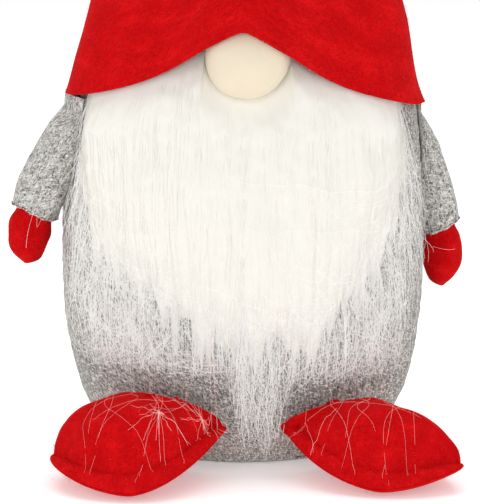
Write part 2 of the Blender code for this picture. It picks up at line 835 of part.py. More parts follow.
clear_scene()
PARTS = new_collection("tomte_gnome")
make_body()
make_beard()
make_nose()
make_hat()
make_arm(
    "right", -1, RIGHT_SHOULDER_Y, RIGHT_SHOULDER_Z, RIGHT_ARM_LEAN, RIGHT_ARM_REACH
)
make_arm("left", 1, LEFT_SHOULDER_Y, LEFT_SHOULDER_Z, LEFT_ARM_LEAN, LEFT_ARM_REACH)
make_foot("right_foot", -1, Vector((RIGHT_FOOT_X, RIGHT_FOOT_Y, 0.0)), RIGHT_FOOT_SPLAY)
make_foot("left_foot", 1, Vector((LEFT_FOOT_X, LEFT_FOOT_Y, 0.0)), LEFT_FOOT_SPLAY)
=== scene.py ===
import math

import bmesh
import bpy
import numpy as np
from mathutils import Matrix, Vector
from mathutils.bvhtree import BVHTree


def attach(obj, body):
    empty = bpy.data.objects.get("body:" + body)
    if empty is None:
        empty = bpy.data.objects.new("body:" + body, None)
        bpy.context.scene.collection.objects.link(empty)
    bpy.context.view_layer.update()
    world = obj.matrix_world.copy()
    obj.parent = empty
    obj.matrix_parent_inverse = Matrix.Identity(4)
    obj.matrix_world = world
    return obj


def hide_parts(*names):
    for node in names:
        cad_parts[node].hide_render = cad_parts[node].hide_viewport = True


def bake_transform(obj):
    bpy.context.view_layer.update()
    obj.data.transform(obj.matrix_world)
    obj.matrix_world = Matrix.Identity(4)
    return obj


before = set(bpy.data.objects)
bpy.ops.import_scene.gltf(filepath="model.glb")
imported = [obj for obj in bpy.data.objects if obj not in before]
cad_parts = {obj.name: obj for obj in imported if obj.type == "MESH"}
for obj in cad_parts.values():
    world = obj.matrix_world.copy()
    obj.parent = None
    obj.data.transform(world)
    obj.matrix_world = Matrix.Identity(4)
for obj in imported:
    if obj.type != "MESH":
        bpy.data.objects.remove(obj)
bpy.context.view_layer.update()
print("frame loaded:", len(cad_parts), "nodes")

# helpers for materials


class Wire:
    # a node's output socket that can be used in sums
    def __init__(self, recipe, socket):
        self.recipe, self.socket = recipe, socket

    def __add__(self, other):
        return self.recipe.sum("ADD", self, other)

    def __radd__(self, other):
        return self.recipe.sum("ADD", other, self)

    def __mul__(self, other):
        return self.recipe.sum("MULTIPLY", self, other)


class Recipe:
    # one material and its nodes
    def __init__(self, name):
        self.material = bpy.data.materials.new(name)
        self.material.use_nodes = True
        self.tree = self.material.node_tree

    def node(self, kind, settings, inputs, out=0):
        made = self.tree.nodes.new("ShaderNode" + kind)
        for key, value in settings.items():
            if key == "stops":
                ramp = made.color_ramp.elements
                while len(ramp) < len(value):
                    ramp.new(0.5)
                for stop, (place, colour) in zip(ramp, value):
                    stop.position, stop.color = place, colour
            else:
                setattr(made, key, value)
        self.plug(made, inputs)
        return Wire(self, made.outputs[out])

    def plug(self, made, inputs):
        for key, value in inputs.items():
            if isinstance(value, Wire):
                self.tree.links.new(value.socket, made.inputs[key])
            else:
                made.inputs[key].default_value = value

    def finish(self, inputs):
        self.plug(self.tree.nodes["Principled BSDF"], inputs)
        return self.material

    def sum(self, operation, first, second):
        return self.node("Math", {"operation": operation}, {0: first, 1: second})

    def clothPlace(self):
        return self.node("UVMap", {"uv_map": "cloth"}, {})

    def objectPlace(self):
        return self.node("TexCoord", {}, {}, 3)

    def noise(self, place, scale, detail=2.0, rough=0.5):
        given = {"Vector": place, "Scale": scale, "Detail": detail, "Roughness": rough}
        return self.node("TexNoise", {}, given)

    def fibreEdge(self, value):
        given = {"Value": value, "From Min": 0.53, "From Max": 0.62}
        return self.node("MapRange", {"interpolation_type": "SMOOTHSTEP"}, given)

    def blend(self, share, first, second):
        return self.node("Mix", {"data_type": "RGBA"}, {0: share, 6: first, 7: second}, 2)

    def bump(self, height, strength, distance):
        given = {"Height": height, "Strength": strength, "Distance": distance}
        return self.node("Bump", {}, given)


def rgb(*channels):
    # a screen colour from 0 to 255, as linear light
    values = [channel / 255 for channel in channels]
    light = [v / 12.92 if v <= 0.04045 else ((v + 0.055) / 1.055) ** 2.4 for v in values]
    return (*light, 1.0)

def feltMaterial(name, look):
    # wool felt: fibres lying in every direction over a cloudy base
    felt = Recipe(name)
    place = felt.clothPlace()
    cloud = felt.noise(place, look["cloudScale"], 3.0, 0.6)
    bend = felt.node("CombineXYZ", {}, {0: felt.noise(place, 260.0, 1.0) * 0.0016})
    fibres = []
    for number, angle in enumerate((0.35, 1.35, 2.35, 2.95)):
        lie = {"Vector": place, "Location": (0.013 * number, 0.007 * number, 0.0)}
        lie.update(Rotation=(0.0, 0.0, angle), Scale=(1.0, look["fibreStretch"], 1.0))
        turned = felt.node("Mapping", {"vector_type": "TEXTURE"}, lie)
        curved = felt.node("VectorMath", {"operation": "ADD"}, {0: turned, 1: bend})
        fibres.append(felt.noise(curved, look["fibreScale"], 1.0))
    light = felt.fibreEdge(fibres[0]) + felt.fibreEdge(fibres[1])
    dark = felt.fibreEdge(fibres[2]) + felt.fibreEdge(fibres[3])
    stops = [(0.3, look["shade"]), (0.5, look["colour"]), (0.72, look["glow"])]
    tone = felt.node("ValToRGB", {"stops": stops}, {"Fac": cloud})
    withDark = felt.blend(dark * look["darkShare"], tone, look["darkFibre"])
    pile = fibres[0] + fibres[1] + fibres[2] + cloud * 1.4
    return felt.finish({
        "Base Color": felt.blend(light * look["lightShare"], withDark, look["lightFibre"]),
        "Roughness": 0.86 + cloud * 0.14,
        "Normal": felt.bump(pile, look["bump"], 0.0006),
        "Sheen Weight": look["sheen"],
        "Sheen Roughness": 0.45,
        "Sheen Tint": look["sheenTint"],
        "Specular IOR Level": look["shine"],
    })


greyLook = {
    "colour": rgb(180, 177, 170), "shade": rgb(126, 123, 118), "glow": rgb(214, 212, 207),
    "darkFibre": rgb(84, 81, 78), "lightFibre": rgb(240, 239, 234),
    "darkShare": 0.62, "lightShare": 0.5, "cloudScale": 170.0,
    "fibreScale": 1250.0, "fibreStretch": 4.0, "bump": 0.55,
    "sheen": 0.08, "sheenTint": (0.95, 0.95, 0.93, 1.0), "shine": 0.12,
}
# painted shade: the body's felt is the sleeves' grey felt made darker, standing in for the shade
# under the beard
shadedBodyLook = dict(greyLook, colour=rgb(146, 143, 138), glow=rgb(186, 184, 179))
redLook = {
    "colour": rgb(201, 7, 12), "shade": rgb(190, 4, 9), "glow": rgb(224, 17, 22),
    "darkFibre": rgb(150, 6, 10), "lightFibre": rgb(226, 40, 44),
    "darkShare": 0.3, "lightShare": 0.12, "cloudScale": 90.0,
    "fibreScale": 1700.0, "fibreStretch": 5.0, "bump": 0.4,
    "sheen": 0.04, "sheenTint": (1.0, 0.12, 0.1, 1.0), "shine": 0.04,
}
greyFelt = feltMaterial("greyFelt", greyLook)
bodyFelt = feltMaterial("bodyFelt", shadedBodyLook)
redFelt = feltMaterial("redFelt", redLook)


def fleeceMaterial(name, colour, shadow, scale, sheen):
    # a fine knitted or woven cloth
    cloth = Recipe(name)
    place = cloth.clothPlace()
    cloud = cloth.noise(place, 70.0, 3.0, 0.55)
    waves = []
    for way, size, wobble in (("Y", scale, 1.2), ("X", scale * 0.8, 1.0)):
        given = {"Vector": place, "Scale": size, "Distortion": wobble, "Detail": 1.0}
        waves.append(cloth.node("TexWave", {"bands_direction": way}, given))
    knit = waves[0] * waves[1]
    return cloth.finish({
        "Base Color": cloth.blend(cloud * 0.55 + knit * 0.2, shadow, colour),
        "Roughness": 0.74 + cloud * 0.2,
        "Normal": cloth.bump(knit * 0.5 + cloud, 0.25, 0.0004),
        "Sheen Weight": sheen,
        "Sheen Roughness": 0.4,
        "Specular IOR Level": 0.2,
    })


noseFleece = fleeceMaterial("noseFleece", rgb(240, 230, 208), rgb(226, 212, 188), 420, 0.15)
backingKnit = fleeceMaterial("backingKnit", rgb(226, 224, 218), rgb(196, 193, 186), 300, 0.1)
bagLinen = fleeceMaterial("bagLinen", rgb(198, 186, 158), rgb(160, 148, 122), 260, 0.0)
fillingFibre = fleeceMaterial("fillingFibre", rgb(242, 242, 238), rgb(214, 214, 210), 90, 0.2)


def hairMaterial(name, pale, deep, rough, glow=0.0):
    hair = Recipe(name)
    shade = hair.node("Attribute", {"attribute_name": "hairShade"}, {}, 2)
    streak = hair.noise(hair.objectPlace(), 160.0, 2.0)
    tone = hair.blend(shade * 0.8 + streak * 0.2, deep, pale)
    return hair.finish({
        "Base Color": tone,
        "Roughness": rough + streak * 0.15,
        "Sheen Weight": 0.15,
        "Specular IOR Level": 0.4,
        # painted light: the hair glows in its own colour, standing in for light passing through
        # fine hair, so its shaded side isn't dark
        "Emission Color": tone,
        "Emission Strength": glow,
    })


beardMass = hairMaterial("beardMass", rgb(241, 239, 231), rgb(233, 230, 222), 0.5)
# the last number is the strength of each hair's painted glow
beardDense = hairMaterial("beardDense", rgb(243, 241, 234), rgb(233, 230, 223), 0.4, 0.06)
beardWhite = hairMaterial("beardWhite", rgb(248, 247, 245), rgb(228, 225, 222), 0.38, 0.15)
wispWhite = hairMaterial("wispWhite", rgb(249, 248, 247), rgb(228, 225, 222), 0.4, 0.22)
# painted light: the white hairs lying on the feet are coloured pink, standing in for the red felt's
# light on them
wispPink = hairMaterial("wispPink", rgb(252, 218, 214), rgb(242, 166, 162), 0.4, 0.25)
fuzzGrey = hairMaterial("fuzzGrey", rgb(228, 226, 220), rgb(120, 116, 110), 0.75)
fuzzRed = hairMaterial("fuzzRed", rgb(226, 40, 42), rgb(176, 8, 12), 0.75)


def plainMaterial(name, pale, deep, scale, detail, grain, rough, bump):
    # one fine noise in the colour, the roughness and the bump
    plain = Recipe(name)
    ply = plain.noise(plain.objectPlace(), scale, detail, grain)
    return plain.finish({
        "Base Color": plain.blend(ply, deep, pale),
        "Roughness": rough[0] + ply * rough[1],
        "Normal": plain.bump(ply, *bump),
    })


def threadMaterial(name, colour):
    deep = (*[channel * 0.6 for channel in colour[:3]], 1.0)
    return plainMaterial(name, colour, deep, 2400.0, 2.0, 0.5, (0.6, 0.2), (0.4, 0.0002))


greyThread = threadMaterial("greyThread", rgb(92, 88, 84))
redThread = threadMaterial("redThread", rgb(120, 22, 20))
cardColours = rgb(186, 164, 130), rgb(150, 128, 98)
greyCard = plainMaterial("greyCard", *cardColours, 900.0, 4.0, 0.7, (0.8, 0.15), (0.2, 0.0003))


print("materials made")

# shapes that several pieces follow, the same as the frame's

body = {
    "baseHalf": 0.060, "widestHalf": 0.0986, "widestZ": 0.095, "topZ": 0.288,
    "shoulderPower": 3.2, "neck": 0.008, "depth": 0.84, "felt": 0.0018,
    "rows": 130, "columns": 100, "lump": 0.0006, "seam": 0.0002,
    # fibres for each square metre, and the length and thickness of one
    "frontFibres": 42000, "backFibres": 30000, "fibre": (0.0017, 0.00005),
}
hat = {
    "topZ": 0.456, "half": 0.0905, "taper": 1.5, "tip": 0.0035, "brimZ": 0.192,
    "flare": 0.0060, "flareHeight": 0.0125, "tilt": 0.0025, "lean": 0.0025,
    "frontRise": 0.020, "frontAngle": 45.0, "peakRise": 0.0245, "peakAngle": 17.3,
    "beardRoom": 0.008, "noseLevelHalf": 0.091, "felt": 0.0018,
    "rows": 110, "frontColumns": 150, "backColumns": 80, "lump": 0.0009,
    "seam": 0.00004, "fibres": 36000, "fibre": (0.0013, 0.000045),
}
nose = {
    "radius": 0.022, "x": 0.002, "z": 0.222, "standOut": 0.008,
    "press": 0.0036, "lump": 0.0005, "rows": 48, "columns": 72,
}
beard = {
    "halfAngle": 60.0, "tuck": 0.008, "backingLow": 0.118, "massAngle": 57.0,
    # where the dense hair ends: degrees from the front, and heights
    "edgeAngles": (-60, -52, -50, -45, -34, -21, -12, 2, 14, 25.5, 30, 39, 44, 49, 56),
    "edgeHeights": (
        0.165, 0.142, 0.131, 0.121, 0.108, 0.096, 0.084, 0.080,
        0.080, 0.083, 0.096, 0.117, 0.122, 0.141, 0.165,
    ),
    "deepest": 0.0085, "under": 0.0032, "sideRise": 0.050,
    "backing": 0.0012, "lay": 0.0012, "brimGap": -0.004,
}


def smooth(value):
    value = np.clip(value, 0.0, 1.0)
    return value * value * (3 - 2 * value)


def bodyHalf(z):
    drop = np.clip((body["widestZ"] - z) / body["widestZ"], 0, 1)
    rise = np.clip((z - body["widestZ"]) / (body["topZ"] - body["widestZ"]), 0, 1)
    low = body["baseHalf"] + (body["widestHalf"] - body["baseHalf"]) * np.sqrt(1 - drop**2)
    high = body["widestHalf"] * np.sqrt(1 - rise ** body["shoulderPower"])
    return np.where(z < body["widestZ"], low, high)


def bodyRoom(z, clearance):
    # the half width that keeps a clearance from the body in every direction
    room = np.zeros(np.broadcast(z, clearance).shape)
    for turn in np.linspace(-math.pi / 2, math.pi / 2, 7):
        near = np.maximum(0.0, z + clearance * math.sin(turn))
        room = np.maximum(room, bodyHalf(near) + clearance * math.cos(turn))
    return room


def bodySideX(y, z):
    half = bodyHalf(z)
    return half * np.sqrt(np.clip(1 - (y / (body["depth"] * half)) ** 2, 0, 1))


def ring(half, turn, z):
    # a point round the flattened figure; turn is in radians from the front
    half, turn, z = np.broadcast_arrays(half, turn, z)
    x = half * np.sin(turn)
    y = -body["depth"] * half * np.cos(turn)
    return np.stack([x, y, z], axis=-1)


def hatHalf(z):
    share = np.clip((z - hat["brimZ"]) / (hat["topZ"] - hat["brimZ"]), 0, 1)
    cone = (hat["half"] - hat["tip"]) * (1 - share ** hat["taper"])
    half = hat["tip"] + cone + hat["flare"] * np.exp(-(z - hat["brimZ"]) / hat["flareHeight"])
    return half * np.sqrt(np.clip((hat["topZ"] - z) / 0.004 + 0.01, 0, 1))


def brimZ(angle):
    rise = hat["frontRise"] * np.exp(-((angle / hat["frontAngle"]) ** 2))
    peak = hat["peakRise"] * np.exp(-((np.abs(angle) / hat["peakAngle"]) ** 1.4))
    return hat["brimZ"] + rise + peak - hat["tilt"] * np.sin(np.radians(angle))


noseY = -(body["depth"] * float(bodyHalf(nose["z"])) + beard["backing"] + nose["standOut"])
noseCentre = np.array([nose["x"], noseY, nose["z"]])
# a point in the body, behind the beard
beardMiddle = np.array([0, 0, 0.16])


def hatBulge(angle, z):
    bulge = smooth((90 - np.abs(angle)) / 35) * hat["beardRoom"]
    bulge = bulge * np.exp(-np.maximum(0.0, z - 0.235) / 0.045)
    across = np.radians(angle) * hat["noseLevelHalf"] - nose["x"]
    reach = (nose["radius"] - noseCentre[1]) / body["depth"] - float(hatHalf(nose["z"]))
    reach -= hat["beardRoom"]
    above = np.maximum(0.0, z - nose["z"] - 0.7 * nose["radius"])
    over = reach * np.exp(-((across / (1.3 * nose["radius"])) ** 2))
    return bulge + over * np.exp(-((above / (1.6 * nose["radius"])) ** 2))


def unevenness(points, size, seed):
    # soft noise from -1 to 1, made of waves in random directions
    dice = np.random.default_rng(seed)
    total = np.zeros(points.shape[:-1])
    for _ in range(16):
        way = dice.normal(size=3)
        way *= 2 * math.pi / size * dice.uniform(0.5, 1.5) / np.linalg.norm(way)
        total += np.sin(points @ way + dice.uniform(0, 2 * math.pi))
    return total / 5.0


# helpers for meshes


def fullTurn(columns):
    return np.linspace(0, 2 * math.pi, columns + 1)[:-1]


def surfaceNormals(points, wrap, inside):
    if wrap:
        across = np.roll(points, -1, axis=1) - np.roll(points, 1, axis=1)
    else:
        across = np.gradient(points, axis=1)
    along = np.gradient(points, axis=0)
    normals = np.cross(across, along)
    size = np.linalg.norm(normals, axis=-1, keepdims=True)
    normals = normals / np.maximum(size, 1e-12)
    if ((points - inside) * normals).sum() < 0:
        normals = -normals
    return normals


def gridQuads(rows, columns, wrap, first=0):
    last = columns if wrap else columns - 1
    row, column = np.meshgrid(np.arange(rows - 1), np.arange(last), indexing="ij")
    after = (column + 1) % columns
    corners = [row * columns + column, row * columns + after]
    corners += [(row + 1) * columns + after, (row + 1) * columns + column]
    return first + np.stack(corners, axis=-1).reshape(-1, 4)


def clothMap(points, wrap, pole=False):
    # lengths in metres along the cloth, one column more where it wraps
    if wrap:
        points = np.concatenate([points, points[:, :1]], axis=1)
    if pole:
        # measured outwards from the first row, which is a single point
        down = np.linalg.norm(np.diff(points, axis=0), axis=-1).cumsum(axis=0)
        down = np.concatenate([0 * down[:1], down])
        turn = np.linspace(0, 2 * math.pi, points.shape[1])[None]
        return np.stack([down * np.cos(turn), down * np.sin(turn)], axis=-1)
    across = np.linalg.norm(np.diff(points, axis=1), axis=-1)
    across = np.median(across[across.shape[0] // 4 :], axis=0)
    along = np.linalg.norm(np.diff(points, axis=0), axis=-1).mean(axis=1)
    u = np.concatenate([[0], np.cumsum(across)])
    v = np.concatenate([[0], np.cumsum(along)])
    grid = np.meshgrid(v, u, indexing="ij")
    return np.stack([grid[1], grid[0]], axis=-1)


def addObject(name, data):
    made = bpy.data.objects.new(name, data)
    bpy.context.scene.collection.objects.link(made)
    return made


def editMesh(mesh, change):
    bm = bmesh.new()
    bm.from_mesh(mesh)
    change(bm)
    bm.to_mesh(mesh)
    bm.free()


def weld(bm):
    bmesh.ops.remove_doubles(bm, verts=bm.verts, dist=0.000002)
    if bm.calc_volume(signed=True) < 0:
        bmesh.ops.reverse_faces(bm, faces=bm.faces)


def mapCloth(mesh, uvs):
    layer = mesh.uv_layers.get("cloth") or mesh.uv_layers.new(name="cloth")
    layer.data.foreach_set("uv", uvs.reshape(-1).astype(np.float32))


def meshObject(name, points, quads, uvs, material):
    mesh = bpy.data.meshes.new(name)
    mesh.from_pydata(points.tolist(), [], quads.tolist())
    mapCloth(mesh, uvs)
    mesh.materials.append(material)
    editMesh(mesh, weld)
    mesh.shade_smooth()
    mesh.set_sharp_from_angle(angle=math.radians(50))
    return addObject(name, mesh)


def quadMap(corners, last):
    own = [corners[:-1, :last], corners[:-1, 1 : last + 1]]
    own += [corners[1:, 1 : last + 1], corners[1:, :last]]
    return np.stack(own, axis=2).reshape(-1, 4, 2)


def clothShell(name, outer, thickness, wrap, inside, material, inner=None, pole=False):
    # cloth with real thickness, from a grid of points on its outside
    rows, columns = outer.shape[:2]
    if inner is None:
        inner = outer - surfaceNormals(outer, wrap, inside) * thickness
    count = rows * columns
    corners = clothMap(outer, wrap, pole)
    last = columns if wrap else columns - 1
    frontUv = quadMap(corners, last)
    quads = [gridQuads(rows, columns, wrap)]
    quads.append(gridQuads(rows, columns, wrap, count)[:, ::-1])
    uvs = [frontUv, frontUv[:, ::-1] + 0.31]
    column = np.arange(last)
    after = (column + 1) % columns
    rims = []
    for row, flip in ((0, False), (rows - 1, True)):
        edge = np.stack([corners[row, :last], corners[row, 1 : last + 1]], axis=1)
        rims.append((row * columns + column, row * columns + after, edge, (0, thickness), flip))
    if not wrap:
        for side, flip in ((0, True), (columns - 1, False)):
            here = np.arange(rows - 1) * columns + side
            edge = np.stack([corners[:-1, side], corners[1:, side]], axis=1)
            rims.append((here, here + columns, edge, (thickness, 0), flip))
    for here, there, edge, down, flip in rims:
        quad = np.stack([here + count, there + count, there, here], axis=-1)
        deep = edge + down
        uv = np.stack([deep[:, 0], deep[:, 1], edge[:, 1], edge[:, 0]], axis=1)
        quads.append(quad[:, ::-1] if flip else quad)
        uvs.append(uv[:, ::-1] if flip else uv)
    points = np.concatenate([outer.reshape(-1, 3), inner.reshape(-1, 3)])
    return meshObject(name, points, np.concatenate(quads), np.concatenate(uvs), material)


def closedSkin(name, rows, material):
    # a closed wrapped surface whose first and last rows are single points
    count, columns = rows.shape[:2]
    uvs = quadMap(clothMap(rows, True, True), columns)
    return meshObject(name, rows.reshape(-1, 3), gridQuads(count, columns, True), uvs, material)


def dress(piece, rideOn, node):
    # what the piece moves with, and the node it stands for, which it hides
    if rideOn:
        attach(piece, rideOn)
    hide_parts(node)
    return piece


# trees that repeat fibres and stitches


class Tree:
    # a Geometry Nodes tree with named inputs
    def __init__(self, name, inputs):
        self.group = bpy.data.node_groups.new(name, "GeometryNodeTree")
        face = self.group.interface
        for label, kind in {"Geometry": "Geometry", **inputs, "Material": "Material"}.items():
            face.new_socket(label, in_out="INPUT", socket_type="NodeSocket" + kind)
        face.new_socket("Geometry", in_out="OUTPUT", socket_type="NodeSocketGeometry")
        self.given = self.group.nodes.new("NodeGroupInput").outputs
        self.sink = self.group.nodes.new("NodeGroupOutput")

    def node(self, kind, settings, inputs, out=0):
        made = self.group.nodes.new(kind if "Node" in kind else "GeometryNode" + kind)
        for key, value in settings.items():
            setattr(made, key, value)
        for key, value in inputs.items():
            if isinstance(value, bpy.types.NodeSocket):
                self.group.links.new(value, made.inputs[key])
            else:
                made.inputs[key].default_value = value
        return made.outputs[out]

    def times(self, first, second):
        return self.node("ShaderNodeMath", {"operation": "MULTIPLY"}, {0: first, 1: second})

    def lines(self):
        return self.node("MeshToCurve", {}, {"Mesh": self.given["Geometry"]})

    def bow(self, steps, start, middle, end):
        given = {"Resolution": steps, "Start": start, "Middle": middle, "End": end}
        return self.node("CurveQuadraticBezier", {}, given)

    def tube(self, curve, scale, sides):
        circle = self.node("CurvePrimitiveCircle", {}, {"Resolution": sides, "Radius": 1.0})
        given = {"Curve": curve, "Profile Curve": circle, "Scale": scale, "Fill Caps": True}
        return self.node("CurveToMesh", {}, given)

    def copies(self, points, instance, rotation, scale):
        given = {"Points": points, "Instance": instance, "Rotation": rotation, "Scale": scale}
        return self.node("InstanceOnPoints", {}, given)

    def close(self, socket):
        whole = self.node("RealizeInstances", {}, {"Geometry": socket})
        smoothed = self.node("SetShadeSmooth", {}, {"Geometry": whole})
        given = {"Geometry": smoothed, "Material": self.given["Material"]}
        self.group.links.new(self.node("SetMaterial", {}, given), self.sink.inputs[0])
        return self.group


def strandTree():
    tree = Tree("strandTree", {"Thickness": "Float"})
    width = tree.node("InputNamedAttribute", {"data_type": "FLOAT"}, {"Name": "hairRadius"})
    return tree.close(tree.tube(tree.lines(), tree.times(width, tree.given["Thickness"]), 3))


def fuzzTree():
    inputs = {"Density": "Float", "Length": "Float", "Thickness": "Float", "Seed": "Int"}
    tree = Tree("fuzzTree", inputs)
    seed = tree.given["Seed"]
    cloth = {"Mesh": tree.given["Geometry"], "Density": tree.given["Density"], "Seed": seed}
    scatter = {"distribute_method": "RANDOM"}
    spots = tree.node("DistributePointsOnFaces", scatter, cloth, "Points")
    bow = tree.bow(3, (0, 0, -0.1), (0.1, 0, 0.7), (0.75, 0.2, 0.9))
    fibre = tree.tube(bow, tree.given["Thickness"], 3)
    turns = {"Min": (-0.9, -0.9, 0.0), "Max": (0.9, 0.9, 6.283), "Seed": seed}
    tilt = tree.node("FunctionNodeRandomValue", {"data_type": "FLOAT_VECTOR"}, turns)
    single = {"data_type": "FLOAT"}
    size = tree.node("FunctionNodeRandomValue", single, {"Seed": 7, 2: 0.35, 3: 1.3}, 1)
    scale = tree.times(size, tree.given["Length"])
    placed = tree.copies(spots, fibre, spots.node.outputs["Rotation"], scale)
    turned = tree.node("RotateInstances", {}, {"Instances": placed, "Rotation": tilt})
    shade = tree.node("FunctionNodeRandomValue", single, {"Seed": 3}, 1)
    kept = {"Geometry": turned, "Name": "hairShade", "Value": shade}
    onCopies = {"data_type": "FLOAT", "domain": "INSTANCE"}
    return tree.close(tree.node("StoreNamedAttribute", onCopies, kept))


def stitchTree():
    tree = Tree("stitchTree", {"Spacing": "Float", "Length": "Float", "Thickness": "Float"})
    given = {"Curve": tree.lines(), "Length": tree.given["Spacing"]}
    even = tree.node("ResampleCurve", {"mode": "LENGTH"}, given)
    bow = tree.bow(4, (-0.5, 0, -0.22), (0, 0, 0.3), (0.5, 0, -0.22))
    stitch = tree.tube(bow, tree.given["Thickness"], 6)
    way = {"Vector": tree.node("InputTangent", {}, {})}
    aligned = tree.node("FunctionNodeAlignRotationToVector", {"axis": "X"}, way)
    return tree.close(tree.copies(even, stitch, aligned, tree.given["Length"]))


trees = {"strand": strandTree(), "fuzz": fuzzTree(), "stitch": stitchTree()}


def grow(name, mesh, treeName, values):
    # runs a tree on a mesh and keeps the result as a plain mesh
    guide = addObject(name + "Guide", mesh)
    modifier = guide.modifiers.new("grow", "NODES")
    modifier.node_group = trees[treeName]
    for item in modifier.node_group.interface.items_tree:
        if item.in_out == "INPUT" and item.name in values:
            modifier[item.identifier] = values[item.name]
    graph = bpy.context.evaluated_depsgraph_get()
    made = bpy.data.meshes.new_from_object(guide.evaluated_get(graph))
    made.name = name
    bpy.data.objects.remove(guide)
    return addObject(name, made)


def stitches(name, path, spacing, length, thickness, material, rideOn, closed=False):
    mesh = bpy.data.meshes.new(name)
    last = len(path) - 1
    edges = [(i, i + 1) for i in range(last)] + [(last, 0)] * closed
    mesh.from_pydata([tuple(point) for point in path], edges, [])
    values = {"Spacing": spacing, "Length": length, "Thickness": thickness / length}
    piece = grow(name, mesh, "stitch", dict(values, Material=material))
    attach(piece, rideOn)
    return piece


def fuzz(piece, density, length, thickness, seed, material, rideOn):
    # short loose fibres standing off a felt piece
    values = {"Density": density, "Length": length, "Thickness": thickness / length}
    values.update(Seed=seed, Material=material)
    fibres = grow(piece.name + "Fuzz", piece.data.copy(), "fuzz", values)
    if rideOn:
        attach(fibres, rideOn)
    return fibres


def strands(name, points, radius, shade, material, rideOn=None):
    # points: strands x steps x 3; radius and shade spread over the first two
    count, steps = points.shape[:2]
    mesh = bpy.data.meshes.new(name)
    mesh.vertices.add(count * steps)
    mesh.vertices.foreach_set("co", points.reshape(-1).astype(np.float32))
    first = (np.arange(count)[:, None] * steps + np.arange(steps - 1)[None]).reshape(-1)
    mesh.edges.add(len(first))
    ends = np.stack([first, first + 1], axis=1).reshape(-1)
    mesh.edges.foreach_set("vertices", ends.astype(np.int32))
    for label, values in (("hairRadius", radius), ("hairShade", shade)):
        layer = mesh.attributes.new(label, "FLOAT", "POINT")
        flat = np.broadcast_to(values, (count, steps)).reshape(-1)
        layer.data.foreach_set("value", flat.astype(np.float32))
    mesh.update()
    piece = grow(name, mesh, "strand", {"Thickness": 1.0, "Material": material})
    # hairs this fine let light through, so they cast no shadow
    piece.visible_shadow = False
    if rideOn:
        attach(piece, rideOn)
    return piece


print("trees made")

# body: two stuffed felt panels and the base disc


def bodyGrid(first, last, columns):
    # points of the body's outside between two turns, from the base to the neck
    rows = body["rows"]
    lowRows = rows // 3
    turnDown = np.linspace(0, math.pi / 2, lowRows)
    lowZ = body["widestZ"] * (1 - np.cos(turnDown))
    bulge = body["widestHalf"] - body["baseHalf"]
    lowHalf = body["baseHalf"] + bulge * np.sin(turnDown)
    neckShare = (1 - (body["neck"] / body["widestHalf"]) ** 2) ** (1 / body["shoulderPower"])
    share = neckShare * (1 - np.linspace(1, 0, rows - lowRows + 1)[1:] ** 1.7)
    highZ = body["widestZ"] + share * (body["topZ"] - body["widestZ"])
    half = np.concatenate([lowHalf, bodyHalf(highZ)])
    z = np.concatenate([lowZ, highZ])
    turn = np.linspace(first, last, columns)
    points = ring(half[:, None], turn[None], z[:, None])
    normals = surfaceNormals(points, False, np.array([0, 0, 0.1]))
    shown = smooth((0.2 - z) / 0.03) * smooth(z / 0.02)
    lumps = unevenness(points, 0.07, 4) + 0.45 * unevenness(points, 0.022, 5)
    seam = np.minimum(turn - first, last - turn) * 0.09
    dip = -0.0010 * np.exp(-((seam / 0.0025) ** 2))
    pucker = 0.0006 * np.exp(-seam / 0.008) * np.sin(z / 0.0016)[:, None]
    move = (lumps * body["lump"] + pucker) * shown[:, None] + dip * smooth(z / 0.004)[:, None]
    return points + normals * move[..., None]


def makeBody():
    inside = np.array([0.0, 0.0, 0.1])
    half, felt = math.pi / 2, body["felt"]
    panels = []
    for name, node, first, side, fewer in (
        ("bodyFront", "body_front_panel", -half, -1, 0),
        ("bodyBack", "body_back_panel", half, 1, 20),
    ):
        grid = bodyGrid(first, first + 2 * half, body["columns"] - fewer)
        grid[..., 1] += side * body["seam"]
        piece = clothShell(name, grid, felt, False, inside, bodyFelt)
        panels.append(dress(piece, "gnome", node))
    for piece, density, seed in zip(panels, ("frontFibres", "backFibres"), (11, 12)):
        fuzz(piece, body[density], *body["fibre"], seed, fuzzGrey, "gnome")

    # the disc that the figure stands on, sewn in along its edge
    half = body["baseHalf"] - 0.0009
    share = np.linspace(0.004, 1, 24)
    turn = fullTurn(96)
    disc = ring(half * share[:, None], turn[None], 0.0)
    disc[..., 2] = 0.0004 * smooth((share - 0.93) / 0.07)[:, None]
    disc[0] = disc[0].mean(axis=0)
    up = np.array([0, 0, 1.0])
    piece = clothShell("baseDisc", disc, felt * 0.9, True, up, bodyFelt, pole=True)
    dress(piece, "gnome", "body_base_disc")


makeBody()
print("body made")

# hat: front and back felt panels over a filling


def hatGrid(first, last, columns):
    angle = np.linspace(first, last, columns)
    around = (angle + 180) % 360 - 180
    low = brimZ(around)
    share = np.linspace(0, 1, hat["rows"])[:, None] ** 1.15
    z = low + (hat["topZ"] - low) * share
    half = hatHalf(z) + hatBulge(around, z) * (np.abs(around) < 90)
    points = ring(half, np.radians(angle)[None], z)
    points[..., 0] += hat["lean"] * smooth((z - low) / 0.045)
    # the front lies over the ball
    room = nose["radius"] + hat["felt"] + 0.0015
    aside = np.hypot(points[..., 0] - noseCentre[0], points[..., 2] - noseCentre[2])
    over = noseCentre[1] - np.sqrt(np.maximum(0, room**2 - aside**2))
    touching = (aside < room) & (np.abs(around) < 90)
    points[..., 1] = np.where(touching, np.minimum(points[..., 1], over), points[..., 1])
    normals = surfaceNormals(points, False, np.array([0, 0, 0.25]))
    lumps = 0.7 * unevenness(points, 0.11, 21) + 0.3 * unevenness(points, 0.035, 22)
    seam = np.minimum(angle - first, last - angle) * 0.0016
    dip = -0.0010 * np.exp(-((seam / 0.0022) ** 2)) * smooth(share / 0.03)
    fade = smooth((1 - share) / 0.1)
    return points + normals * ((lumps + 0.6) * hat["lump"] * fade + dip)[..., None]


